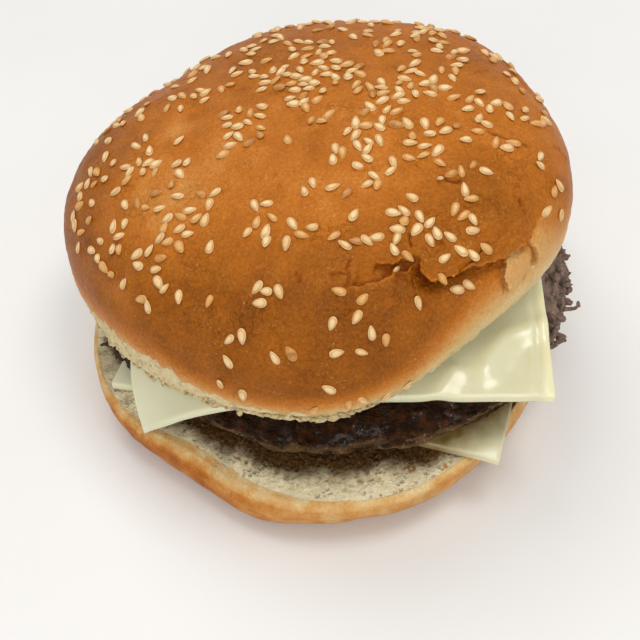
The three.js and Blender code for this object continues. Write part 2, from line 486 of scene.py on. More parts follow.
@dataclass(frozen=True)
class BreadFinish:
    """Baked crust that pales to crumb. The mesh holds bake, crumb, pore, stain and hollow; pore and hollow carry
    painted shade in pits and grooves, and stain carries grease with painted shade beside the patty.
    """

    name: str
    stops: tuple[tuple[float, Colour], ...] = (
        (0.0, srgb(230, 212, 168)),
        (0.2, srgb(220, 180, 118)),
        (0.4, srgb(208, 145, 72)),
        (0.6, srgb(188, 109, 26)),
        (0.8, srgb(152, 84, 4)),
        (1.0, srgb(102, 50, 4)),
    )
    crumb: Colour = srgb(248, 234, 194)
    crumb_shade: Colour = srgb(222, 192, 132)
    # the colour of painted shade in the crumb's pits
    pore: Colour = srgb(160, 124, 62)
    # grease, and painted shade under the patty's edge
    grease_and_shade: Colour = srgb(84, 52, 10)
    # the colour of painted shade in grooves, cracks and pits
    hollow_shade: Colour = srgb(122, 50, 8)
    crust_roughness: float = 0.4
    crumb_roughness: float = 0.88

    def material(self) -> bpy.types.Material:
        """Build the material."""
        graph = Graph(self.name)
        bake = graph.attribute("bake")
        crumb = graph.attribute("crumb")
        stain = graph.attribute("stain")
        hollow_shade = graph.attribute("hollow_shade")
        cloud = graph.noise(9, 4, seed=1, rough=0.6) - 0.5
        freckle = graph.noise(0.7, 4, seed=2, rough=0.75) - 0.5
        grain = graph.noise(0.32, 2, seed=3)
        level = bake + cloud * 0.12 + freckle * 0.5 + (grain - 0.5) * 0.12
        crust = graph.ramp(level.clamp(), self.stops)
        dots = graph.noise(0.5, 1, seed=4).step(0.62, 0.74) * graph.noise(5, 2, seed=5).step(0.42, 0.66)
        crust = graph.mix(dots * 0.35, crust, self.stops[1][1])
        # Painted shade: the crumb's small holes and pits are darkened.
        holes = 1 - graph.cells(1.2, seed=6).step(0.15, 0.5)
        holes = holes * graph.noise(2.6, 2, seed=10).step(0.45, 0.62)
        texture = (graph.noise(1.1, 4, seed=7, rough=0.65) * 1.5 - 0.25).clamp()
        soft = graph.mix(texture, self.crumb_shade, self.crumb)
        soft = graph.mix((holes * 0.35 + graph.attribute("pore")).clamp(), soft, self.pore)
        patchy = (crumb + (graph.noise(1.2, 3, seed=8) - 0.5) * 0.5).step(0.35, 0.65)
        colour = graph.mix(patchy, crust, soft)
        # Grease stains, darkest right under the patty's edge, where they also stand in for painted shade.
        colour = graph.mix((stain * (1.0 + freckle * 0.7)).clamp(), colour, self.grease_and_shade)
        # Painted shade: grooves, cracks and pits are darkened to a deep reddish brown.
        colour = graph.mix((hollow_shade * 0.85).clamp(), colour, self.hollow_shade)
        gain = self.crumb_roughness - self.crust_roughness
        roughness = self.crust_roughness + (grain - 0.5) * 0.14 + patchy * gain + hollow_shade * 0.2
        wrinkle = graph.noise(1.4, 5, seed=9, rough=0.72)
        fold = graph.noise(3.6, 4, seed=11, rough=0.6)
        crease = fold.step(0.46, 0.5) * (1 - fold.step(0.5, 0.54)) * graph.noise(11, 2, seed=12).step(0.54, 0.68)
        relief = wrinkle * 0.6 + grain * 0.2 - crease * 0.25 + patchy * (texture - holes * 0.8)
        return graph.surface(
            Base_Color=colour,
            Roughness=roughness.clamp(),
            Normal=graph.bump(relief, 0.8),
            Subsurface_Weight=0.06,
            Subsurface_Radius=(1.0, 0.5, 0.25),
            Subsurface_Scale=0.001,
            Specular_IOR_Level=0.14,
        )


@dataclass(frozen=True)
class CheeseFinish:
    """Pale processed cheese, glossy where it has softened. The mesh holds melt, stain and strip."""

    name: str
    pale: Colour = srgb(224, 223, 194)
    deep: Colour = srgb(214, 211, 172)
    stain: Colour = srgb(130, 102, 44)
    edge: Colour = srgb(234, 230, 190)
    roughness: float = 0.2

    def material(self) -> bpy.types.Material:
        """Build the material."""
        graph = Graph(self.name)
        melt = graph.attribute("melt")
        stain = graph.attribute("stain")
        cloud = graph.noise(14, 2, seed=1)
        colour = graph.mix((cloud * 0.7 + melt * 0.3).clamp(), self.pale, self.deep)
        colour = graph.mix(graph.attribute("strip") * 0.8, colour, self.edge)
        colour = graph.mix((stain * (0.6 + graph.noise(3, 3, seed=2) * 0.8)).clamp(), colour, self.stain)
        sweat = graph.noise(2.6, 2, seed=3)
        roughness = self.roughness + (1 - melt) * 0.3 + (sweat - 0.5) * melt * 0.1
        relief = graph.noise(7, 1, seed=4) * 0.5 + melt * graph.noise(1.6, 2, seed=5) * 0.12
        return graph.surface(
            Base_Color=colour,
            Roughness=roughness.clamp(),
            Normal=graph.bump(relief, 0.35),
            Subsurface_Weight=0.3,
            Subsurface_Radius=(1.0, 0.8, 0.45),
            Subsurface_Scale=0.002,
            Specular_IOR_Level=0.5,
        )


@dataclass(frozen=True)
class BeefFinish:
    """Fried beef: a dark glossy sear over coarse grey-brown meat. The mesh holds sear, depth and strand; depth is
    painted shade in crevices and gaps.
    """

    name: str
    sear: Colour = srgb(32, 17, 7)
    sear_warm: Colour = srgb(86, 44, 16)
    meat: Colour = srgb(104, 76, 46)
    meat_dark: Colour = srgb(28, 15, 6)
    grey: Colour = srgb(142, 118, 106)
    fat: Colour = srgb(178, 154, 132)

    def material(self) -> bpy.types.Material:
        """Build the material."""
        graph = Graph(self.name)
        sear = graph.attribute("sear")
        depth = graph.attribute("depth")
        strand = graph.attribute("strand")
        dry = graph.attribute("dry")
        grit = graph.noise(0.45, 3, seed=2, rough=0.65)
        cloud = graph.noise(3.5, 3, seed=6)
        fibre = (strand * 0.7 + 0.15 + (grit - 0.5) * 0.9 + (cloud - 0.5) * 0.6).clamp()
        meat = graph.mix(fibre, self.meat_dark, self.meat)
        meat = graph.mix((dry * (0.25 + fibre)).clamp(), meat, self.grey)
        fat = graph.noise(0.7, 2, seed=3).step(0.58, 0.67)
        meat = graph.mix(fat * (0.3 + 0.4 * dry), meat, self.fat)
        crust = graph.mix(graph.noise(2.4, 4, seed=4, rough=0.7).step(0.42, 0.76), self.sear, self.sear_warm)
        patch = (sear + (graph.noise(2.0, 3, seed=5) - 0.5) * 0.8).step(0.35, 0.65)
        colour = graph.mix(patch, meat, crust)
        # Painted shade: crevices and gaps between strands are darkened towards the sear colour.
        colour = graph.mix((depth * 0.85).clamp(), colour, self.sear)
        glaze = graph.noise(4.5, 3, seed=7).step(0.48, 0.62)
        roughness = 0.55 - patch * 0.3 + (grit - 0.5) * 0.5
        relief = strand * 0.5 + grit * 0.8 + cloud * 0.6
        return graph.surface(
            Base_Color=colour,
            Roughness=roughness.clamp(),
            Normal=graph.bump(relief, 0.8),
            Coat_Weight=(patch * glaze * 0.3 + dry * 0.1).clamp(),
            Coat_Roughness=0.1,
            Specular_IOR_Level=0.14,
            Specular_Tint=(1.0, 0.86, 0.72, 1.0),
        )


@dataclass(frozen=True)
class SeedFinish:
    """Toasted sesame. The mesh holds the place in each seed, and its tone."""

    name: str
    cream: Colour = srgb(228, 196, 142)
    amber: Colour = srgb(208, 150, 72)
    brown: Colour = srgb(146, 84, 28)
    ring: Colour = srgb(178, 118, 46)

    def material(self) -> bpy.types.Material:
        """Build the material."""
        graph = Graph(self.name)
        tone = graph.attribute("tone")
        reach = graph.attribute("reach")
        stops = (
            (0.0, self.cream),
            (0.3, self.cream),
            (0.75, self.amber),
            (1.0, self.brown),
        )
        body = graph.ramp((tone + (graph.noise(1.5, 2, seed=1) - 0.5) * 0.5).clamp(), stops)
        ring = reach.step(0.5, 0.78) * (1 - reach.step(0.86, 0.98))
        colour = graph.mix(ring * 0.5, body, self.ring)
        relief = graph.noise(0.3, 2, seed=2) * 0.4 - ring * 0.5
        return graph.surface(
            Base_Color=colour,
            Roughness=0.38,
            Normal=graph.bump(relief, 0.12),
            Subsurface_Weight=0.15,
            Subsurface_Radius=(1.0, 0.7, 0.4),
            Subsurface_Scale=0.0008,
        )


# ---------------------------------------------------------------- layers


@dataclass(frozen=True)
class Stack:
    """Heights of the layers, one on another."""

    gap: float = 0.3
    slice_thickness: float = 2.2
    cut_height: float = 14.2
    cut_slope: float = 0.03
    sag_from: float = 34
    sag_to: float = 54.8
    sag: float = 1.7
    patty_centre: tuple[float, float] = (5, 8)
    patty_radius: float = 55.2
    patty_thickness: float = 10.6
    patty_wedge: float = 0.05
    patty_fall: float = 1.6

    def cut_face(self, x: Array, y: Array) -> Array:
        """Height of the heel's cut face."""
        return self.cut_height + self.cut_slope * x - self.sag * smooth(self.sag_from, self.sag_to, np.hypot(x, y))

    def patty_bottom(self, x: Array, y: Array) -> Array:
        """Height of the patty's lower face."""
        return self.cut_face(x, y) + 2 * self.gap + self.slice_thickness

    def patty_top(self, x: Array, y: Array) -> Array:
        """Height of the patty's upper face."""
        reach = np.hypot(x - self.patty_centre[0], y - self.patty_centre[1]) / self.patty_radius
        thickness = self.patty_thickness + self.patty_wedge * x - self.patty_fall * reach**2
        return self.patty_bottom(x, y) + thickness


STACK = Stack()


@dataclass(frozen=True)
class Lobe:
    """A wave of the crown's outline: how many times round, how large, and where it peaks."""

    count: int
    size: float
    at: float


@dataclass
class Marks:
    """What the tears, cracks and scuffs leave on the crust, one number for each point: painted shade in grooves and
    pits, paler skin and bared crumb.
    """

    hollow_shade: Array
    pale: Array
    crumb: Array

    @classmethod
    def none(cls, count: int) -> "Marks":
        """No marks on any of the points."""
        return cls(np.zeros(count), np.zeros(count), np.zeros(count))


@dataclass(frozen=True)
class Tear:
    """A line where the crust has split and one side has slid over the other."""

    route: tuple[Point, ...]
    raised: Raised
    lip: float
    overhang: float
    groove: float
    lip_reach: float = 4.0
    groove_reach: float = 2.6
    wall: float = 0.35
    jag: float = 0.5
    shade: float = 1.0
    skin: float = 0.0
    skin_reach: float = 5.0

    def apply(self, form: Form, marks: Marks) -> None:
        """Open the tear in a form.

        Args:
            form: The form, whose points are moved.
            marks: The marks, which are added to.
        """
        route = rounded(snapped(self.route, form.points))
        near = nearby(form.points, route, max(self.lip_reach, self.skin_reach) * 2.2)
        points, outward = form.points[near], form.outward[near]
        off, across, along = beside(route, points, outward)
        off = off * self.raised.value
        across = across * self.raised.value
        off = off + self.jag * fractal(points, 1.8, 3, seed=31) * bell(off, 2.5)
        fade = smooth(0, 0.12, along) * smooth(1, 0.86, along)
        over = np.clip(off - self.wall, 0, None)
        under = np.clip(-off - self.wall, 0, None)
        rise = np.clip((off + self.wall) / (2 * self.wall), 0, 1)
        lift = lerp(-self.groove * bell(under, self.groove_reach), self.lip * bell(over, self.lip_reach), rise)
        slide = self.overhang * bell(over, 0.7 * self.lip_reach) * rise**3
        form.points[near] += outward * (fade * lift)[:, None] - across * (fade * slide)[:, None]
        # Painted shade: the groove under the lip is darkened.
        deep = self.shade * fade * smooth(self.wall, -0.1, off) * bell(under, 0.75)
        lip_edge = 0.35 * bell(off - 1.3 * self.wall, 0.35)
        skin = fade * (self.skin * rise * bell(over, self.skin_reach) + lip_edge)
        marks.hollow_shade[near] = np.maximum(marks.hollow_shade[near], deep)
        marks.pale[near] = np.maximum(marks.pale[near], skin)


@dataclass(frozen=True)
class Crack:
    """A hairline split in the crust."""

    route: tuple[Point, ...]
    depth: float = 0.6
    width: float = 0.3
    pucker: float = 0.15

    def apply(self, form: Form, marks: Marks) -> None:
        """Open the crack in a form.

        Args:
            form: The form, whose points are moved.
            marks: The marks, which are added to.
        """
        route = rounded(snapped(self.route, form.points))
        near = nearby(form.points, route, 4)
        off, _, along = beside(route, form.points[near], form.outward[near])
        off = off + 0.35 * fractal(form.points[near], 1.2, 2, seed=33)
        fade = smooth(0, 0.15, along) * smooth(1, 0.85, along)
        inside = fade * bell(off, self.width)
        lift = fade * self.pucker * bell(np.abs(off) - 3 * self.width, 1.2) - self.depth * inside
        form.points[near] += form.outward[near] * lift[:, None]
        # Painted shade inside the crack.
        marks.hollow_shade[near] = np.maximum(marks.hollow_shade[near], 0.85 * inside)


@dataclass(frozen=True)
class Scuff:
    """A small round blemish: a dent or a pit, how much shade is painted into it, and how far it bares pale skin or
    crumb.
    """

    at: Point
    radius: float
    depth: float
    hollow_shade: float = 0.0
    pale: float = 0.0
    crumb: float = 0.0

    def apply(self, form: Form, marks: Marks) -> None:
        """Press the scuff into a form.

        Args:
            form: The form, whose points are moved.
            marks: The marks, which are added to.
        """
        centre = snapped([self.at], form.points)[0]
        near = nearby(form.points, centre[None], self.radius * 2.5)
        points = form.points[near]
        off = np.linalg.norm(points - centre, axis=1) / self.radius + 0.3 * fractal(points, 1.6, 3, seed=35)
        inside = bell(off, 0.8)
        form.points[near] -= form.outward[near] * (self.depth * inside)[:, None]
        # Painted shade in the pit.
        marks.hollow_shade[near] = np.maximum(marks.hollow_shade[near], self.hollow_shade * bell(off, 0.55))
        marks.pale[near] = np.maximum(marks.pale[near], self.pale * inside)
        marks.crumb[near] = np.maximum(marks.crumb[near], self.crumb * inside)


def snapped(route: Sequence[Point], points: Array) -> Array:
    """The points of a surface nearest to a route's points."""
    return np.array([points[np.argmin(((points - spot) ** 2).sum(1))] for spot in np.array(route, float)])


def rounded(route: Sequence[Point] | Array, rounds: int = 2) -> Array:
    """A route with its corners cut.

    Args:
        route: The route's points.
        rounds: How many times every corner is cut.

    Returns:
        A smoother route with the same ends.
    """
    line = np.array(route, float)
    for _ in range(rounds):
        first = lerp(line[:-1], line[1:], 0.25)
        second = lerp(line[:-1], line[1:], 0.75)
        inner = np.stack([first, second], axis=1).reshape(-1, 3)
        line = np.vstack([line[:1], inner, line[-1:]])
    return line


def nearby(points: Array, route: Array, reach: float) -> Array:
    """Indices of the points inside a route's box, widened by a reach."""
    inside = np.all((points > route.min(0) - reach) & (points < route.max(0) + reach), axis=1)
    return np.flatnonzero(inside)


def beside(route: Array, points: Array, outward: Array) -> tuple[Array, Array, Array]:
    """Where points on a surface lie beside a route.

    Args:
        route: The route's points.
        points: Places on the surface.
        outward: The surface's direction at each place.

    Returns:
        The distance to the left of the route, the direction to its left, and the share of its length.
    """
    lengths = np.linalg.norm(np.diff(route, axis=0), axis=1)
    ends = np.concatenate([[0], np.cumsum(lengths)])
    best = np.full(len(points), np.inf)
    signed = np.zeros(len(points))
    left = np.zeros_like(points)
    share = np.zeros(len(points))
    for index, (start, end) in enumerate(zip(route, route[1:])):
        span = end - start
        t = np.clip((points - start) @ span / (span @ span), 0, 1)
        off = points - start - t[:, None] * span
        distance = np.linalg.norm(off, axis=1)
        side = np.cross(outward, span)
        side /= np.linalg.norm(side, axis=1)[:, None] + 1e-9
        closer = distance < best
        best[closer] = distance[closer]
        signed[closer] = (np.sign((off * side).sum(1)) * distance)[closer]
        left[closer] = side[closer]
        share[closer] = ((ends[index] + t * lengths[index]) / ends[-1])[closer]
    return signed, left, share


@dataclass
class Crown:
    """The seeded upper half of the bun: a lobed, flattened dome that leans to the left."""

    centre: tuple[float, float] = (3, 10.5)
    half_width: float = 54.6
    half_depth: float = 57.5
    lean: float = math.tan(math.radians(8))
    cut_height: float = 29.9
    equator: float = 38
    dome: float = 27.7
    squareness: float = 2.4
    rim: float = 0.93
    flat_share: float = 0.62
    top_cuts: int = 103
    wall_cuts: int = 77
    rim_portion: float = 0.22
    shift: float = -1.2
    front_lift: float = 1.5
    lobes: tuple[Lobe, ...] = (
        Lobe(2, 0.041, -8),
        Lobe(3, 0.016, 35),
        Lobe(4, 0.022, -8),
        Lobe(5, 0.007, 36),
        Lobe(6, 0.018, -21),
    )
    tears: tuple[Tear, ...] = (
        Tear(  # the front edge of a sunken patch
            route=((7.2, -34.6, 58.2), (9, -36, 57.7), (11.6, -35.2, 57.9), (14.4, -34.8, 58.1),
                   (16.4, -33.2, 58.5), (18.8, -32.7, 58.6), (21.5, -31.2, 59)),
            raised=Raised.RIGHT,
            lip=0.5,
            overhang=0.4,
            groove=0.9,
            lip_reach=3.0,
            groove_reach=2.4,
            jag=0.7,
            shade=0.7,
        ),
        Tear(  # its back edge
            route=((12.5, -31.6, 59.6), (15.5, -32.2, 59.3), (17.5, -31.2, 59.4), (21.1, -30.4, 59.4)),
            raised=Raised.LEFT,
            lip=0.3,
            overhang=0.3,
            groove=0.9,
            lip_reach=2.2,
            groove_reach=1.8,
            jag=0.7,
            shade=0.6,
        ),
        Tear(  # the long flap
            route=((21.2, -29.8, 59.4), (22.4, -33.9, 57), (25, -33.5, 56.6), (28, -32, 56.4), (31, -30.2, 56.3),
                   (34.5, -29.2, 55.8), (38.1, -27, 55), (42.8, -23.8, 55.3), (46, -20.6, 55)),
            raised=Raised.LEFT,
            lip=1.2,
            overhang=1.4,
            groove=2.5,
            lip_reach=4.5,
            groove_reach=3.0,
        ),
        Tear(  # the fold below its end
            route=((41.6, -25.4, 54), (39.7, -27.5, 52.7), (39.0, -28.9, 51.0), (38.9, -29.6, 48.9),
                   (39.5, -29.6, 47), (39.3, -29.9, 45.4)),
            raised=Raised.LEFT,
            lip=0.9,
            overhang=0.9,
            groove=0.6,
            lip_reach=4.0,
            groove_reach=1.4,
            wall=0.25,
            shade=0.35,
            skin=0.9,
            skin_reach=8.0,
        ),
        Tear(  # a second fold behind it
            route=((44.5, -23.3, 54), (46.1, -23.4, 51.6), (46.5, -23.8, 49.2), (46.4, -24.4, 46.9)),
            raised=Raised.LEFT,
            lip=0.6,
            overhang=0.5,
            groove=0.8,
            lip_reach=2.6,
            groove_reach=1.0,
            wall=0.25,
            shade=0.55,
            skin=0.8,
            skin_reach=6.0,
        ),
    )
    cracks: tuple[Crack, ...] = (
        Crack(((37.9, -3, 65), (42.6, -4.9, 62.5), (46.8, -5.2, 60))),
        Crack(((50.7, -1.8, 58), (54.6, -2.3, 54))),
        Crack(((26.8, -14.6, 65), (29.8, -16.1, 64), (32.2, -15.3, 63.8))),
        Crack(((41.3, -16.3, 59.5), (43.6, -19.7, 57))),
        Crack(((20, -26.1, 61.5), (20.1, -29.1, 60.5)), depth=0.9),
        Crack(((8.9, -30.6, 60.4), (7.4, -32.4, 59.6), (8.1, -34.4, 58.6), (6.9, -36.2, 57.6)), depth=0.4),
        Crack(((4.2, -33.4, 58.8), (6.2, -33.0, 59), (7.8, -33.6, 58.9)), depth=0.3),
        Crack(((-1.6, -30.8, 58.6), (-1, -33.4, 57.6)), depth=0.35),
        Crack(((6.8, -37.6, 56.4), (7.4, -39.6, 55)), depth=0.4),
    )
    scuffs: tuple[Scuff, ...] = (
        Scuff((-22, 18, 60.5), radius=3.2, depth=0.9, hollow_shade=0.35),
        Scuff((-25, 14, 59.8), radius=3.6, depth=0.3, pale=0.45),
        Scuff((21.8, -37.6, 53.7), radius=1.3, depth=0.6, hollow_shade=0.7),
        Scuff((14.3, -37.8, 56), radius=1.2, depth=0.4, hollow_shade=0.45, pale=0.3),
        Scuff((17.6, -32.3, 59), radius=2.0, depth=1.2, hollow_shade=0.9),
        Scuff((12, -34, 58.6), radius=3.0, depth=0.5, pale=0.25),
        Scuff((43.8, -25.4, 50.5), radius=4.6, depth=0.1, pale=0.75),
        Scuff((46.9, -25.5, 46.5), radius=2.0, depth=0.5, crumb=0.5, pale=0.6),
        Scuff((44.5, -27.2, 46), radius=1.5, depth=0.5, hollow_shade=0.4),
    )

    def outline(self, angle: Array) -> Array:
        """Reach of the outline in a direction, as a share of its plain oval."""
        return 1 + sum(lobe.size * np.cos(lobe.count * (angle - math.radians(lobe.at))) for lobe in self.lobes)

    def share(self, x: Array, y: Array) -> Array:
        """Share of the way from the middle to the outline."""
        across = (x - self.centre[0]) / self.half_width
        along = (y - self.centre[1]) / self.half_depth
        return np.hypot(across, along) / self.outline(np.arctan2(along, across))

    def at(self, angle: float, share: float) -> tuple[float, float]:
        """The place on the plan at an angle and a share of the way to the outline."""
        out = float(self.outline(angle)) * share
        x = self.centre[0] + self.half_width * out * math.cos(angle)
        y = self.centre[1] + self.half_depth * out * math.sin(angle)
        return x + self.shift, y

    def rise(self, x: Array) -> Array:
        """Rise of the leaning crown from its middle."""
        return self.lean * (x - self.centre[0])

    def underside(self, x: Array, y: Array) -> Array:
        """Height of the cut face, which lies on the filling."""
        filling = STACK.patty_top(x, y) + 3 * STACK.gap + STACK.slice_thickness
        return lerp(filling, self.cut_height + self.rise(x), smooth(0.76, 0.92, self.share(x, y)))

    def blank(self) -> bmesh.types.BMesh:
        """A cube cut into small squares."""
        blank = bmesh.new()
        bmesh.ops.create_cube(blank, size=2)
        upright = [e for e in blank.edges if abs(e.verts[0].co.z - e.verts[1].co.z) > 1]
        bmesh.ops.subdivide_edges(blank, edges=upright, cuts=self.wall_cuts, use_grid_fill=True)
        level = [e for e in blank.edges if abs(e.verts[0].co.z - e.verts[1].co.z) < 1e-6]
        bmesh.ops.subdivide_edges(blank, edges=level, cuts=self.top_cuts, use_grid_fill=True)
        return blank

    def place(self, cube: Array) -> Array:
        """Bring points of the cube onto the crown: its top to the dome, its sides to the wall and rim.

        Args:
            cube: Points of a cube from -1 to 1.

        Returns:
            Their places on the crown.
        """
        a, b, c = cube.T
        reach = np.maximum(np.abs(a), np.abs(b))
        wide = np.abs(a) >= np.abs(b)
        with np.errstate(divide="ignore", invalid="ignore"):
            turn_wide = math.pi / 4 * b / a + np.where(a < 0, math.pi, 0)
            turn_deep = math.pi / 2 - math.pi / 4 * a / b + np.where(b < 0, math.pi, 0)
        angle = np.nan_to_num(np.where(wide, turn_wide, turn_deep))
        down = (1 - c) / 2
        power = 2 / self.squareness
        steepest = math.acos(self.flat_share ** (1 / power))
        wall_turn = steepest * np.clip(1 - down / (1 - self.rim_portion), 0, 1)
        rim_turn = math.pi / 2 * np.clip((down - 1 + self.rim_portion) / self.rim_portion, 0, 1)
        share = np.cos(wall_turn) ** power - (1 - self.rim) * (1 - np.cos(rim_turn))
        level = np.sin(wall_turn) ** power - np.sin(rim_turn)
        top = (c > 1 - 1e-6) & (reach < 1)
        share[top] = reach[top] * self.flat_share
        level[top] = (1 - share[top] ** self.squareness) ** (1 / self.squareness)
        bottom = (c < -1 + 1e-6) & (reach < 1)
        share[bottom] = reach[bottom] * self.rim
        level[bottom] = -1
        out = self.outline(angle) * share
        x = self.centre[0] + self.half_width * out * np.cos(angle)
        y = self.centre[1] + self.half_depth * out * np.sin(angle)
        middle = self.equator + self.rise(x)
        z = np.where(level >= 0, middle + self.dome * level, lerp(middle, self.underside(x, y), -level))
        return np.stack([x, y, z], axis=1)

    def refine(self, blank: bmesh.types.BMesh) -> None:
        """Cut the blank finer beside the tears and cracks."""
        blank.verts.ensure_lookup_table()
        placed = self.place(np.array([v.co[:] for v in blank.verts]))
        close = np.zeros(len(placed), bool)
        lines = [(t.route, 3.0) for t in self.tears] + [(c.route, 1.2) for c in self.cracks]
        for route, reach in lines:
            line = rounded(snapped(route, placed))
            near = nearby(placed, line, reach)
            off, _, _ = beside(line, placed[near], np.tile([0.3, -0.5, 0.8], (len(near), 1)))
            close[near[np.abs(off) < reach]] = True
        blank.verts.index_update()
        edges = [e for e in blank.edges if close[e.verts[0].index] and close[e.verts[1].index]]
        bmesh.ops.subdivide_edges(blank, edges=edges, cuts=2, use_grid_fill=True)

    def build(self) -> bpy.types.Object:
        """Shape the crown and give it its crust."""
        blank = self.blank()
        self.refine(blank)
        form = Form("crown_bread", blank)
        form.points = self.place(form.points)
        form.settle("bun_crown")
        x, y, z = form.points.T
        angle = np.arctan2((y - self.centre[1]) / self.half_depth, (x - self.centre[0]) / self.half_width)
        share = self.share(x, y)
        height = z - (self.cut_height + self.rise(x))
        cut = (share < 0.955) & (z < self.underside(x, y) + 1.0)
        lumps = fractal(form.points, 26, 2, seed=1)
        ripple = fractal(form.points, 5, 3, seed=2)
        fine = fractal(form.points, 1.3, 3, seed=3)
        rag = fractal(form.points * [1, 1, 0.35], 2.6, 3, seed=4)

        # The torn lower edge: a pale, rough band, widest at the front left, and a ragged lip.
        wide_left = bell_at(angle, -140, 27)
        band = 2.8 + 0.5 * rag + 9.5 * wide_left
        crumb = smooth(1.0, -1.0, (height - band - 1.8 * rag) / (0.7 + 1.0 * wide_left))
        crumb = np.maximum(crumb, cut * 1.0)
        dimples = fractal(form.points, 11, 2, seed=7)
        form.push((0.5 * lumps + 0.3 * dimples) * (share < 0.9) + 0.2 * ripple + 0.1 * fine)
        form.push(crumb * (0.4 * fractal(form.points, 1.6, 3, seed=5) - 0.3 * (1 - cut)))
        edge = bell(height - 0.2, 1.6) * ~cut
        form.points[:, 2] -= edge * np.clip(rag + 0.1, 0, 1) * 0.8
        form.push(edge * 0.5 * fractal(form.points, 2.2, 3, seed=6))

        # Crust colour: golden brown on top, browner at the back, tan towards the rim. The front is darkened by
        # painted shade where it faces down and away from the light, and a spot on the left flank is lightened by a
        # painted sheen.
        right = bell_at(angle, -43, 27)
        # painted shade: the crust's front, which faces down, is made darker
        front = bell_at(angle, -92, 66) * smooth(0.5, 0.85, share)
        tan_from = 5.0 + 6.5 * wide_left + 6.0 * right + 1.5 * ripple
        bake = 0.615 + 0.05 * lumps - 0.05 * dimples + 0.07 * ripple + 0.22 * front
        bake += 0.11 * smooth(0, 40, y) + 0.1 * smooth(-30, -50, x)
        # painted highlight: a broad sheen on the left flank, painted as paler crust
        bake -= 0.12 * bell(np.hypot(x + 27, y + 4) - 4, 9)
        bake *= 0.16 + 0.84 * smooth(-3.0, 5.0, (height - tan_from) / (1.4 + 0.7 * right))
        form.points[:, 0] += self.shift
        form.points[:, 2] += self.front_lift * bell_at(angle, -100, 50) * bell(height, 9) * ~cut
        form.refresh()
        marks = Marks.none(len(form.points))
        for mark in (*self.tears, *self.scuffs, *self.cracks):
            mark.apply(form, marks)
        bake = lerp(bake, 0.28 + 0.06 * ripple, np.clip(marks.pale, 0, 1))
        form.paint("bake", np.clip(bake, 0, 1))
        form.paint("crumb", np.clip(np.maximum(crumb, marks.crumb), 0, 1))
        # painted shade in the tears, cracks and pits
        form.paint("hollow_shade", marks.hollow_shade)
        piece = form.done(BreadFinish("crown_crust").material())
        attach(piece, Slot.BUN, "bun_crown")
        return piece


@dataclass(frozen=True)
class Spot:
    """A round area on the plan."""

    x: float
    y: float
    radius: float

    def on(self, points: Array) -> Array:
        """How far each point is inside the spot, fading from 1 to 0."""
        return bell(np.hypot(points[:, 0] - self.x, points[:, 1] - self.y), self.radius)


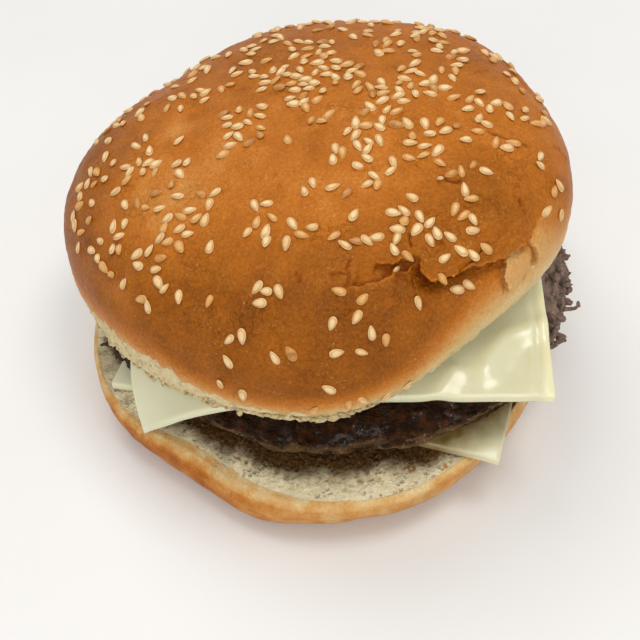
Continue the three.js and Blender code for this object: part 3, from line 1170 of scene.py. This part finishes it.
@dataclass
class Heel:
    """The lower half of the bun, cut side up."""

    base_radius: float = 51.2
    top_radius: float = 54.8
    steps: int = 96
    cuts: int = 7
    toasted: tuple[Spot, ...] = (
        Spot(-19, -40.5, 1.9),
        Spot(-10.4, -43, 2.4),
        Spot(25.1, -46, 2.2),
        Spot(18, -46.6, 1.5),
        Spot(2, -45.5, 2.2),
    )
    greasy: tuple[Spot, ...] = (
        Spot(-50, -5.5, 3.2),
        Spot(-48.4, -9.9, 3.4),
        Spot(-46, -14.6, 3.0),
        Spot(-44, -20.5, 1.2),
    )
    torn_open: tuple[Spot, ...] = (
        Spot(-24.1, -36.4, 4.5),
        Spot(-15, -42, 4.5),
        Spot(-10.1, -47.9, 3.5),
        Spot(6, -48.5, 5),
        Spot(-2, -47, 4),
        Spot(30, -40, 5),
    )

    def build(self, patty: "Patty") -> bpy.types.Object:
        """Shape the heel and give it its crust and crumb.

        Args:
            patty: The patty, whose juice has soaked in below its edge, and whose shade is painted there.

        Returns:
            The heel.
        """
        profile = (
            (0, 0), (0.55, 0), (0.93, 0), (0.975, 0.1), (1, 0.36), (1.005, 0.7), (0.99, 0.92), (0.965, 1),
            (0.74, 1), (0.5, 1), (0, 1),
        )
        rings = (2, 4, 5, 8, 8, 5, 3, 34, 8, 3)
        form = Form("heel_bread", spun(profile, rings, self.steps, self.cuts))
        x, y, up = form.points.T
        angle = np.arctan2(y, x)
        cheek = bell_at(angle, -130, 26)
        toe = bell_at(angle, -106, 15)
        brow = bell_at(angle, -78, 26)
        side = bell_at(angle, -34, 24)
        low = self.base_radius - 2.6 * cheek + 2.2 * toe + 1.6 * side
        high = self.top_radius - 6.8 * cheek + 1.4 * brow + 1.3 * side
        wobble = 1 + 0.006 * np.sin(5 * angle + 1) + 0.004 * np.sin(9 * angle)
        shoulder = bell_at(angle, -122, 30)
        ring = np.hypot(x, y)
        up = np.clip(up, 0, 1)
        radius = ring * lerp(low, high, up**0.8) * wobble
        x, y = radius * np.cos(angle), radius * np.sin(angle)
        form.points = np.stack([x, y, up * STACK.cut_face(x, y)], axis=1)
        form.settle("bun_heel")
        cut = (up > 0.999) & (ring < 0.975)
        inward = (0.965 - ring) * self.top_radius
        skin = smooth(5.0, 2.2, inward + 1.3 * fractal(form.points, 5, 2, seed=9))
        pore, _ = cells(form.points, 1.9, seed=1)
        small, _ = cells(form.points, 1.1, seed=2)
        coarse = fractal(form.points, 7, 3, seed=3)
        opened = np.clip(sum(spot.on(form.points) for spot in self.torn_open), 0, 1)
        openness = np.clip(0.08 + 0.7 * coarse + 0.8 * opened, 0, 1) * (1 - 0.92 * skin)
        pits = smooth(0.42, 0.1, pore) * openness * cut
        dimples = smooth(0.4, 0.1, small) * openness * cut
        form.push(cut * (0.35 * coarse + 0.22 * (1 - skin) * fractal(form.points, 1.4, 3, seed=4)))
        streaks = fractal(np.stack([angle * self.top_radius, inward / 5, 0 * x], axis=1), 1.5, 3, seed=10)
        streaks = streaks * cut * (1 - skin)
        form.push(0.5 * streaks - 0.9 * pits - 0.3 * dimples)
        waves = 0.25 * fractal(form.points, 8, 3, seed=5) + 0.05 * fractal(form.points, 1.2, 2, seed=6)
        form.push(~cut * (up > 0.02) * waves)

        form.points[:, 2] -= 1.1 * shoulder * smooth(6, 0, inward) * smooth(0.3, 1, up)

        # Grease below the patty's edge, darkest at the edge itself, where it is also painted shade under the patty;
        # real grease spots further left.
        reach = patty.past_edge(x, y)
        grease_and_shade = smooth(5.0, -0.5, reach + 1.5 * coarse) * (y < 0)
        for spot in self.greasy:
            grease_and_shade = np.maximum(grease_and_shade, 0.5 * spot.on(form.points))
        toast = np.zeros(len(form.points))
        for spot in self.toasted:
            toast = np.maximum(toast, spot.on(form.points))
        toast *= smooth(-0.2, 0.4, fractal(form.points, 1.3, 3, seed=7)) * cut
        browned = bell(up - 0.5, 0.45) * bell_at(angle, -138, 34)
        bake = 0.36 + 0.2 * fractal(form.points, 4, 4, seed=8) + 0.3 * browned
        bake += 0.09 * smooth(0.35, 0.0, up) - 0.2 * smooth(0.8, 1.0, up)
        inner = cut * smooth(-0.6, 0.6, inward - 2.0 * shoulder)
        form.paint("bake", np.clip(lerp(bake, lerp(0.1, 0.55, toast), inner), 0, 1))
        form.paint("crumb", inner * (1 - 0.85 * toast))
        # pore: painted shade in the pits
        form.paint("pore", np.clip(0.3 * pits - 0.45 * streaks, 0, 1))
        # stain: grease, with painted shade under the patty
        form.paint("stain", np.clip(grease_and_shade * cut, 0, 1))
        piece = form.done(BreadFinish("heel_crust", crumb=srgb(252, 241, 208), crumb_shade=srgb(240, 219, 170)).material())
        attach(piece, Slot.BUN, "bun_heel")
        return piece


@dataclass
class Patty:
    """The fried beef patty: an oval disc, thicker on the right, with a ragged edge."""

    oval: float = 3.8
    oval_at: float = -27
    ragged: float = 0.9
    flat_at: float = -158
    flat_width: float = 26
    flat_depth: float = 3
    edge_taper: float = 2.4
    bulge_at: float = -100
    bulge_width: float = 42
    bulge: float = 1.3
    trim_at: float = -14
    trim_width: float = 34
    trim: float = 2.2
    steps: int = 96
    cuts: int = 7

    def radius(self, angle: Array) -> Array:
        """Distance from the middle to the ragged edge."""
        waves = 0.5 * np.sin(7 * angle + 1.3) + 0.3 * np.sin(13 * angle) + 0.35 * np.sin(23 * angle + 0.6)
        oval = self.oval * np.cos(2 * (angle - math.radians(self.oval_at)))
        flat = self.flat_depth * bell_at(angle, self.flat_at, self.flat_width)
        return STACK.patty_radius + oval - flat + self.ragged * waves

    def past_edge(self, x: Array, y: Array) -> Array:
        """How far places on the plan lie outside the patty's edge."""
        across, along = x - STACK.patty_centre[0], y - STACK.patty_centre[1]
        return np.hypot(across, along) - self.radius(np.arctan2(along, across))

    def build(self) -> bpy.types.Object:
        """Shape the patty and give it its sear."""
        profile = (
            (0, 0), (0.6, 0), (0.82, 0), (0.91, 0.04), (0.965, 0.2), (1, 0.48), (0.985, 0.74), (0.93, 0.93),
            (0.82, 1), (0.6, 1), (0, 1),
        )
        rings = (3, 6, 6, 9, 11, 11, 10, 9, 5, 3)
        form = Form("patty_meat", spun(profile, rings, self.steps, self.cuts))
        a, b, level = form.points.T
        angle = np.arctan2(b, a)
        share = np.hypot(a, b)
        radius = share * self.radius(angle)
        x = STACK.patty_centre[0] + radius * np.cos(angle)
        y = STACK.patty_centre[1] + radius * np.sin(angle)
        taper = smooth(0.72, 1, share)
        low = STACK.patty_bottom(x, y) + 0.5 * taper
        high = STACK.patty_top(x, y) - self.edge_taper * taper
        form.points = np.stack([x, y, lerp(low, high, np.clip(level, 0, 1))], axis=1)
        form.settle("patty")
        pulled = self.trim * bell_at(angle, self.trim_at, self.trim_width)
        pulled = (pulled - self.bulge * bell_at(angle, self.bulge_at, self.bulge_width)) * smooth(0.8, 1, share)
        form.points[:, 0] -= pulled * np.cos(angle)
        form.points[:, 1] -= pulled * np.sin(angle)
        loose = smooth(0.86, 0.97, share)
        front = smooth(-0.1, 0.45, -np.sin(angle)) * smooth(0.94, 0.6, np.cos(angle))
        coarse = 1.25 - 0.5 * front
        lumps = fractal(form.points, (6, 6, 4), 3, seed=1)
        strands = fractal(form.points, (4, 4, 1.0), 4, seed=2)
        grit = fractal(form.points, 1.0, 3, seed=3)
        _, wall = cells(form.points * [0.6, 0.6, 1], 2.6, seed=4)
        crevice = smooth(0.14, 0.0, wall) * (1 - 0.6 * front)
        form.push(loose * coarse * (0.5 * lumps + 0.55 * strands + 0.32 * grit - 0.5 * crevice))
        # depth: painted shade in the crevices and low spots
        depth = np.clip(0.6 * crevice - 0.4 * lumps - 1.0 * strands - 0.1, 0, 1)
        upper = smooth(0.58, 0.84, level + 0.16 * lumps + 0.1 * strands)
        sear = np.maximum(upper * lerp(0.15, 1.0, front), smooth(0.8, 0.7, share))
        form.paint("sear", np.clip(sear, 0, 1))
        form.paint("depth", depth)
        form.paint("strand", np.clip(0.5 + 1.3 * strands, 0, 1))
        form.paint("dry", np.clip(1 - front, 0, 1))
        piece = form.done(BeefFinish("seared_beef").material())
        attach(piece, Slot.BEEF, "patty")
        return piece


@dataclass(frozen=True)
class Fold:
    """A corner of a slice that has folded down."""

    x: float
    y: float
    depth: float
    width: float


@dataclass(frozen=True)
class Ridge:
    """A soft ridge that runs over a slice, along a line on the plan."""

    route: tuple[tuple[float, float], ...]
    height: float
    width: float

    def on(self, x: Array, y: Array) -> Array:
        """How high the ridge stands at each place."""
        line = rounded([(a, b, 0.0) for a, b in self.route])
        points = np.stack([x, y, np.zeros_like(x)], axis=1)
        off, _, along = beside(line, points, np.tile([0.0, 0.0, 1.0], (len(points), 1)))
        fade = smooth(0, 0.2, along) * smooth(1, 0.8, along)
        return self.height * fade * bell(off, self.width)


@dataclass
class Slice:
    """A square cheese slice, laid on what is below it and hanging past its support."""

    name: str
    node: str
    side: float
    centre: tuple[float, float]
    turn: float
    support: tuple[float, float]
    support_radius: float
    hang_left: float
    hang_right: float
    draw_in: float
    over_patty: bool
    fold: Fold | None = None
    ridges: tuple[Ridge, ...] = ()
    crease: float = 0.0
    crease_from_edge: float = 2.5
    cuts: int = 120
    bevel: float = 0.45

    def hang(self, x: Array, y: Array) -> Array:
        """How far the slice drops below its support's height."""
        past = np.clip(np.hypot(x - self.support[0], y - self.support[1]) - self.support_radius, 0, None)
        drop = lerp(self.hang_left, self.hang_right, smooth(-35, 30, x)) * past**2
        if self.fold is not None:
            drop = drop + self.fold.depth * bell(np.hypot(x - self.fold.x, y - self.fold.y), self.fold.width)
        return drop

    def height(self, crown: Crown, x: Array, y: Array) -> Array:
        """Height of the slice's underside."""
        if not self.over_patty:
            return STACK.cut_face(x, y) + STACK.gap - self.hang(x, y)
        draped = STACK.patty_top(x, y) + STACK.gap - self.hang(x, y)
        return np.minimum(draped, crown.underside(x, y) - 2 * STACK.gap - STACK.slice_thickness)

    def flat(self) -> bmesh.types.BMesh:
        """The slice lying flat, a box of small cells with softened edges."""
        blank = bmesh.new()
        bmesh.ops.create_grid(blank, x_segments=self.cuts, y_segments=self.cuts, size=self.side / 2)
        raised = bmesh.ops.extrude_face_region(blank, geom=blank.faces[:])
        top = [item for item in raised["geom"] if isinstance(item, bmesh.types.BMVert)]
        bmesh.ops.translate(blank, verts=top, vec=(0, 0, STACK.slice_thickness))
        bmesh.ops.recalc_face_normals(blank, faces=blank.faces)
        sharp = [e for e in blank.edges if len(e.link_faces) == 2 and e.calc_face_angle(0) > 1.0]
        bmesh.ops.bevel(
            blank, geom=sharp, offset=self.bevel, offset_type="OFFSET", segments=2, profile=0.5,
            affect="EDGES", material=-1,
        )
        return blank

    def build(self, crown: Crown) -> bpy.types.Object:
        """Shape the slice and give it its finish.

        Args:
            crown: The crown that presses on the slice.

        Returns:
            The slice.
        """
        form = Form(self.name, self.flat())
        across, along, up = form.points.T
        turn = math.radians(self.turn)
        x = self.centre[0] + across * math.cos(turn) - along * math.sin(turn)
        y = self.centre[1] + across * math.sin(turn) + along * math.cos(turn)
        shrink = 1 - self.draw_in * self.hang(x, y)
        x, y = lerp(self.centre[0], x, shrink), lerp(self.centre[1], y, shrink)
        z = self.height(crown, x, y) + up
        inset = self.side / 2 - self.crease_from_edge
        groove = bell(across - inset, 0.55) - 0.5 * bell(across - inset - 1.1, 0.7) - 0.4 * bell(across - inset + 1.2, 0.7)
        z -= self.crease * groove
        reach = np.hypot(x - STACK.patty_centre[0], y - STACK.patty_centre[1])
        free = smooth(STACK.patty_radius - 14, STACK.patty_radius - 3, reach)
        shown = free * (y < 0)
        for ridge in self.ridges:
            z += ridge.on(x, y)
        z += 0.3 * fractal(np.stack([x, y, 0 * x], axis=1), 12, 2, seed=7) * free
        form.points = np.stack([x, y, z], axis=1)
        form.refresh()
        stain = 0.9 * smooth(8, -1.5, reach - STACK.patty_radius) * smooth(-5, 10, x)
        if self.over_patty:
            stain *= 0
        form.paint("melt", 0.15 + 0.85 * smooth(-10, 25, x) * shown)
        form.paint("stain", stain)
        form.paint("strip", smooth(inset, inset + 0.5, across) * (self.crease > 0))
        piece = form.done(CheeseFinish(f"{self.name}_cheese").material())
        attach(piece, Slot.CHEESE, self.node)
        return piece


# ---------------------------------------------------------------- scattered things


@dataclass
class CrumbFlakes:
    """Flaps and flakes of crumb along the crown's torn lower edge."""

    count: int = 110
    start: float = -176
    end: float = -80
    seed: int = 5

    def build(self, crown: Crown) -> bpy.types.Object:
        """Scatter the flakes along the edge.

        Args:
            crown: The crown that carries them.

        Returns:
            The flakes, joined.
        """
        pattern = bmesh.new()
        bmesh.ops.create_icosphere(pattern, subdivisions=2, radius=1)
        heap = Heap(pattern)
        rng = np.random.default_rng(self.seed)
        bakes = []
        for _ in range(self.count):
            angle = math.radians(self.start + (self.end - self.start) * rng.random() ** 0.8)
            left = float(bell_at(np.array(angle), -140, 24))
            rise = rng.uniform(-0.1, 0.9) + left * rng.uniform(0, 5)
            share = 0.958 + 0.02 * min(1, max(0, rise) / 3) + rng.normal(0, 0.004)
            x, y = crown.at(angle, share)
            z = crown.cut_height + crown.rise(x) + rise
            z += crown.front_lift * float(bell_at(np.array(angle), -100, 50))
            length = rng.uniform(0.5, 1.5) * (1 - 0.3 * left)
            size = np.array([length, rng.uniform(0.35, 0.8), rng.uniform(0.12, 0.26)])
            bumpy = 1 + 0.75 * fractal(heap.pattern, 0.8, 3, seed=int(rng.integers(1, 900)))[:, None]
            local = heap.pattern * bumpy * size
            turn = Matrix.Rotation(angle + math.pi / 2 + rng.normal(0, 0.3), 3, "Z")
            turn = turn @ Matrix.Rotation(rng.normal(0, 0.35), 3, "X") @ Matrix.Rotation(rng.normal(0, 0.25), 3, "Y")
            heap.copies.append(local @ np.array(turn).T + [x, y, z])
            bakes.append(rng.choice([0.0, 0.08, 0.16], p=[0.5, 0.35, 0.15]))
        form = heap.form("crumb_flakes")
        form.paint("bake", heap.each(bakes))
        form.paint("crumb", heap.each(0.75 - np.array(bakes)))
        piece = form.done(BreadFinish("torn_crumb").material())
        attach(piece, Slot.CRUMB)
        return piece


@dataclass(frozen=True)
class Shred:
    """A loose bit of meat: where it sits, its length and thickness, and where it points on the plan."""

    at: Point
    length: float
    thickness: float
    heading: float


@dataclass
class MeatShreds:
    """Bits and strands of meat that stick out of the patty's edge."""

    shown: tuple[Shred, ...] = (
        Shred((60.4, 5.0, 20.5), 2.2, 1.5, 60),
        Shred((60.6, 2.6, 21.5), 2.2, 1.6, 10),
        Shred((59.1, -1.6, 20), 2.4, 1.8, -30),
        Shred((58.8, -7.2, 20.5), 2.6, 2.0, 15),
        Shred((58.6, -9.4, 19.5), 2.4, 1.8, -20),
        Shred((58.1, -12.2, 20), 2.6, 1.0, 5),
        Shred((60.0, -12.1, 20), 2.0, 0.8, 20),
        Shred((60.9, -11.4, 20.2), 1.3, 0.9, 80),
        Shred((55.0, -19.4, 19), 2.6, 1.8, -50),
        Shred((53.8, -21.8, 20), 1.9, 0.8, -5),
        Shred((50.4, -23.6, 19), 2.6, 1.7, -60),
        Shred((-46.0, -10.6, 19.5), 3.4, 1.0, 160),
        Shred((-47.8, -10.2, 20), 1.8, 0.8, 200),
        Shred((-44.8, -12.4, 19), 3.2, 2.2, 120),
        Shred((-44.3, -9.6, 20.5), 2.2, 1.1, 80),
        Shred((-43.0, -14.0, 18.6), 2.4, 1.3, 130),
        Shred((-41.6, -15.8, 18.2), 3.0, 1.9, 125),
        Shred((-40.8, -18.0, 17.4), 1.9, 1.2, 100),
        Shred((-29.0, -32.4, 19.2), 2.4, 1.3, 150),
    )
    extra: int = 70
    start: float = -35
    end: float = 190
    seed: int = 23

    def hidden(self, patty: Patty) -> list[Shred]:
        """More bits along the right, the back and the left of the edge."""
        rng = np.random.default_rng(self.seed)
        found = []
        for _ in range(self.extra):
            angle = math.radians(rng.uniform(self.start, self.end))
            radius = float(patty.radius(np.array(angle))) * rng.uniform(0.965, 0.995)
            x = STACK.patty_centre[0] + radius * math.cos(angle)
            y = STACK.patty_centre[1] + radius * math.sin(angle)
            middle = (STACK.patty_bottom(x, y) + STACK.patty_top(x, y)) / 2
            x -= 2.2 * float(bell_at(np.array(angle), -14, 34))
            spot = (x, y, float(middle) + rng.uniform(-3.2, 2.2))
            heading = math.degrees(angle) + rng.normal(0, 50)
            found.append(Shred(spot, rng.uniform(1.5, 3.2), rng.uniform(0.9, 1.9), heading))
        return found

    def build(self, patty: Patty) -> bpy.types.Object:
        """Shape the bits.

        Args:
            patty: The patty whose edge carries them.

        Returns:
            The bits, joined.
        """
        pattern = bmesh.new()
        bmesh.ops.create_icosphere(pattern, subdivisions=3, radius=0.5)
        heap = Heap(pattern)
        shreds = [*self.shown, *self.hidden(patty)]
        for index, shred in enumerate(shreds):
            size = np.array([shred.length * 1.25, shred.thickness, shred.thickness * 0.9])
            local = heap.pattern * size
            rough = fractal(local, 0.8, 4, seed=60 + index)[:, None]
            local = local * (1 + 0.6 * rough)
            turn = np.array(Matrix.Rotation(math.radians(shred.heading), 3, "Z"))
            heap.copies.append(local @ turn.T + shred.at)
        form = heap.form("meat_shreds")
        form.paint("strand", np.clip(0.5 + 0.6 * fractal(form.points, 1.4, 3, seed=9), 0, 1))
        form.paint("dry", heap.each([0.9 if shred.at[0] > 0 else 0.2 for shred in shreds]))
        # The bits on the left are darkened through the same painted-shade channel.
        form.paint("depth", 0.35 * (form.points[:, 0] < 0))
        piece = form.done(BeefFinish("loose_beef").material())
        attach(piece, Slot.BEEF)
        return piece


@dataclass(frozen=True)
class Handful:
    """Seeds dropped round a spot of the crown."""

    x: float
    y: float
    spread: float
    count: int


@dataclass
class SesameSeeds:
    """The sesame seeds stuck to the crown."""

    length: float = 2.95
    width: float = 1.75
    thickness: float = 0.95
    sunk: float = 0.28
    spacing: float = 1.9
    seed: int = 11
    top: tuple[tuple[float, float, float, int], ...] = (
        (5, 24, 7, 16), (11, 20, 5, 8), (-4, 23, 5, 8), (-8, 32, 6, 7), (6, 33, 6, 7), (20, 34, 6, 6),
        (30, 33, 6, 7), (24, 26, 5, 5), (36, 26, 5, 6), (3, 14, 5, 11), (-11, 13, 5, 8), (-10, 5, 4, 6),
        (5, 6, 3, 3), (-1, 2, 2, 1), (21, 9, 6, 16), (26, 15, 5, 6), (15, 13, 2, 2), (34, 8, 6, 9),
        (34, 17, 4, 3), (43, 5, 4, 4), (38, 0, 2, 2), (14, 1, 5, 7), (15, -6, 4, 5), (24, -3, 5, 7),
        (33, -3, 5, 5), (42, -7, 3, 3), (8, -6, 2, 3), (15, -12, 4, 6), (26, -12, 5, 6), (33, -15, 5, 5),
        (20, -22, 4, 6), (31, -21, 3, 3), (24, -25, 1, 1), (9, -25, 4, 5), (-1, -25, 4, 4), (-7, -17, 3, 4),
        (-8, -22, 3, 3), (2, -15, 2, 2), (8, -16, 2, 2), (16, -29, 4, 6), (25, -29, 4, 4), (32, -28, 3, 4),
    )
    left: tuple[tuple[float, float, float, int], ...] = (
        (-25, 26, 5, 6), (-33, 27, 3, 3), (-17, 25, 4, 4), (-36, 12, 5, 6), (-43, 13, 4, 5), (-33, 5, 4, 5),
        (-38, 4, 2, 2), (-25, 10, 1, 1), (-24, 1, 4, 4), (-15, 2, 2, 2), (-36, -6, 4, 5), (-28, -5, 4, 4),
        (-20, -11, 4, 6), (-26, -14, 4, 6), (-35, -18, 3, 3), (-24, -18, 2, 2), (-31, -25, 3, 4),
        (-18, -21, 1, 1), (-44, -7, 3, 3), (-40, -11, 2, 2), (-47, 3, 4, 4),
        (-49, 12, 2.5, 3), (-48, -2, 1.5, 1), (-30, -18, 3, 3), (-41, -13, 2, 2), (-50, 7, 2, 2),
    )
    front: tuple[tuple[float, float, float, int], ...] = (
        (-8, -34, 3, 4), (-19, -31, 1, 1), (-15, -40, 3, 3), (-6, -43, 2, 2), (6, -36, 1, 1), (10, -39, 2, 2),
        (4, -41, 1, 1), (10, -44, 4, 4), (4, -46, 2, 2), (20, -37, 1, 1), (25, -35, 1, 1), (31, -34, 3, 3),
        (48, -8, 2, 2), (50, -16, 3, 3), (50, 5, 5, 6), (50, 17, 5, 5), (52, -12, 2, 2),
    )
    back: tuple[tuple[float, float, float, int], ...] = (
        (-2, 45, 10, 16), (18, 47, 10, 16), (38, 40, 8, 12), (-22, 42, 9, 12), (-40, 28, 7, 8), (2, 58, 8, 10),
        (24, 59, 7, 8), (48, 28, 5, 6), (-34, 44, 6, 5),
    )
    rim: tuple[tuple[float, float], ...] = (
        (-87, 37.4), (-84, 38), (-74, 37), (-79, 36.4), (-114, 39.2), (-109, 38), (-94, 36.8), (-128, 51),
    )

    def spots(self, rng: np.random.Generator) -> list[tuple[float, float]]:
        """Places of the seeds on the plan, none on top of another."""
        found: list[tuple[float, float]] = []
        for handful in (Handful(*row) for row in self.top + self.left + self.front + self.back):
            for _ in range(handful.count):
                for _ in range(40):
                    reach = handful.spread * math.sqrt(rng.random())
                    turn = math.tau * rng.random()
                    spot = (handful.x + reach * math.cos(turn), handful.y + reach * math.sin(turn))
                    if all(math.dist(spot, other) > self.spacing for other in found):
                        found.append(spot)
                        break
        return found

    def inward(self, crown: Crown, angle: float, height: float) -> tuple[Point, Point]:
        """A level ray at the crown's rim: where it starts and where it points."""
        out_x = crown.half_width * math.cos(math.radians(angle))
        out_y = crown.half_depth * math.sin(math.radians(angle))
        start = (crown.centre[0] + 2 * out_x, crown.centre[1] + 2 * out_y, height)
        return start, (-out_x, -out_y, 0)

    def pattern(self) -> bmesh.types.BMesh:
        """A ball with its poles on the X axis."""
        blank = bmesh.new()
        bmesh.ops.create_uvsphere(blank, u_segments=12, v_segments=8, radius=1)
        bmesh.ops.rotate(blank, verts=blank.verts, matrix=Matrix.Rotation(math.pi / 2, 3, "Y"))
        return blank

    def seed_shape(self, ball: Array) -> Array:
        """Bring a ball's points onto a seed: flat, with its tip along +X."""
        seed = ball.copy()
        tip = ball[:, 0]
        seed[:, 1] *= (1 - 0.26 * tip) * (1 - 0.2 * np.clip(tip, 0, 1) ** 3)
        seed[:, 2] *= 1 - 0.25 * tip
        return seed * np.array([self.length, self.width, self.thickness]) / 2

    def build(self, crown: Crown, bread: bpy.types.Object) -> bpy.types.Object:
        """Stick the seeds on the crown.

        Args:
            crown: The crown's sizes.
            bread: The finished crown.

        Returns:
            The seeds, joined.
        """
        rng = np.random.default_rng(self.seed)
        surface = BVHTree.FromObject(bread, bpy.context.evaluated_depsgraph_get())
        heap = Heap(self.pattern())
        reach = np.hypot(heap.pattern[:, 0], heap.pattern[:, 1])
        shape = self.seed_shape(heap.pattern)
        tones = []
        rays = [((x, y, 120), (0, 0, -1)) for x, y in self.spots(rng)]
        rays += [self.inward(crown, angle, height) for angle, height in self.rim]
        for start, heading in rays:
            turn, tilt_a, tilt_b = math.tau * rng.random(), rng.normal(0, 0.13), rng.normal(0, 0.13)
            size = rng.normal(1, 0.07)
            slim = rng.uniform(0.86, 1.08)
            tone = rng.choice([0.1, 0.4, 0.65, 0.85], p=[0.36, 0.34, 0.23, 0.07])
            place, normal, _, _ = surface.ray_cast(Vector(start) * MM, Vector(heading).normalized())
            if place is None:
                continue
            basis = normal.to_track_quat("Z", "Y").to_matrix() @ Matrix.Rotation(turn, 3, "Z")
            basis = basis @ Matrix.Rotation(tilt_a, 3, "X") @ Matrix.Rotation(tilt_b, 3, "Y")
            lifted = np.array(place) / MM + np.array(normal) * (self.thickness * (0.5 - self.sunk))
            heap.copies.append(shape * [size, size * slim, size] @ np.array(basis).T + lifted)
            tones.append(tone)
        form = heap.form("sesame_seeds")
        form.paint("tone", heap.each(tones))
        form.paint("reach", np.tile(reach, len(tones)))
        LOG.info("%d sesame seeds", len(tones))
        piece = form.done(SeedFinish("toasted_sesame").material())
        attach(piece, Slot.SESAME)
        return piece


# ---------------------------------------------------------------- studio


@dataclass(frozen=True)
class Lamp:
    """A soft round light aimed at the burger."""

    name: str
    place: Point
    size: float
    power: float
    tint: tuple[float, float, float] = (1.0, 0.99, 0.97)


@dataclass
class Studio:
    """A pale floor, soft light and the camera."""

    camera_place: Point = (1.8, -164.6, 192.5)
    look_down: float = 47.91
    roll: float = -5.14
    lens: float = 56.74
    floor_tone: Colour = srgb(231, 230, 229)
    floor_shade: Colour = srgb(225, 224, 222)
    sky: float = 0.52
    lamps: tuple[Lamp, ...] = (
        Lamp("key", (-280, 650, 1050), 800, 5.0),
        Lamp("overhead", (250, 0, 800), 340, 2.1),
        Lamp("fill", (-60, -700, 380), 560, 1.9),
        Lamp("glint", (40, -430, 640), 70, 0.4),
    )

    def build(self) -> None:
        """Set up the floor, the lights and the camera."""
        self.floor()
        self.lights()
        self.camera()

    def floor(self) -> None:
        """A plain floor under the bun."""
        blank = bmesh.new()
        bmesh.ops.create_grid(blank, x_segments=1, y_segments=1, size=1800)
        form = Form("floor", blank)
        form.points[:, 2] = -0.05
        graph = Graph("pale_floor")
        colour = graph.mix(graph.noise(60, 2, seed=1), self.floor_tone, self.floor_shade)
        floor = form.done(graph.surface(Base_Color=colour, Roughness=0.55))

    def lights(self) -> None:
        """Soft daylight from the upper left and back, and a pale sky."""
        world = bpy.data.worlds.new("pale_sky")
        world.use_nodes = True
        background = world.node_tree.nodes["Background"]
        background.inputs["Color"].default_value = (1.0, 0.99, 0.975, 1.0)
        background.inputs["Strength"].default_value = self.sky
        bpy.context.scene.world = world
        for lamp in self.lamps:
            light = bpy.data.lights.new(lamp.name, "AREA")
            light.shape = "DISK"
            light.size = lamp.size * MM
            light.energy = lamp.power
            light.color = lamp.tint
            holder = bpy.data.objects.new(lamp.name, light)
            holder.location = Vector(lamp.place) * MM
            aim = Vector((0, 0, 30)) * MM - holder.location
            holder.rotation_mode = "QUATERNION"
            holder.rotation_quaternion = aim.to_track_quat("-Z", "Y")
            bpy.context.scene.collection.objects.link(holder)

    def camera(self) -> None:
        """The camera, looking down at the front."""
        data = bpy.data.cameras.new("camera")
        data.lens = self.lens
        data.sensor_width = 36
        data.clip_start = 0.01
        data.clip_end = 10
        holder = bpy.data.objects.new("camera", data)
        tilt = Matrix.Rotation(math.radians(90 - self.look_down), 4, "X")
        roll = Matrix.Rotation(math.radians(self.roll), 4, "Z")
        holder.matrix_world = Matrix.Translation(Vector(self.camera_place) * MM) @ tilt @ roll
        bpy.context.scene.collection.objects.link(holder)
        bpy.context.scene.camera = holder
        bpy.context.scene.view_settings.view_transform = "Standard"


def main() -> None:
    """Build the burger layer by layer, then the studio."""
    logging.basicConfig(level=logging.INFO, format="%(message)s")
    Studio().build()
    crown = Crown()
    patty = Patty()
    Heel().build(patty)
    Slice(
        "slice_lower", "cheese_lower", side=89.5, centre=(10.2, 9.4), turn=-20.5, support=(0, 0),
        support_radius=50, hang_left=0.013, hang_right=0.013, draw_in=0.0027, over_patty=False,
    ).build(crown)
    patty.build()
    MeatShreds().build(patty)
    Slice(
        "slice_upper", "cheese_upper", side=91.6, centre=(7.3, 7.1), turn=-6.4, support=(5, 8),
        support_radius=42, hang_left=0.0126, hang_right=0.001, draw_in=0.0043, over_patty=True,
        fold=Fold(-45.2, -37.4, depth=14.0, width=11.2),
        ridges=(
            Ridge(((53, -23), (49.1, -25.6), (42.4, -27.2), (37.8, -30.6), (34.7, -35.5), (31, -40)), 1.5, 3.0),
            Ridge(((30, -33), (25.8, -38.5), (22, -44)), 0.8, 2.2),
        ),
        crease=0.45,
    ).build(crown)
    bread = crown.build()
    CrumbFlakes().build(crown)
    SesameSeeds().build(crown, bread)


if __name__ == "__main__":
    main()
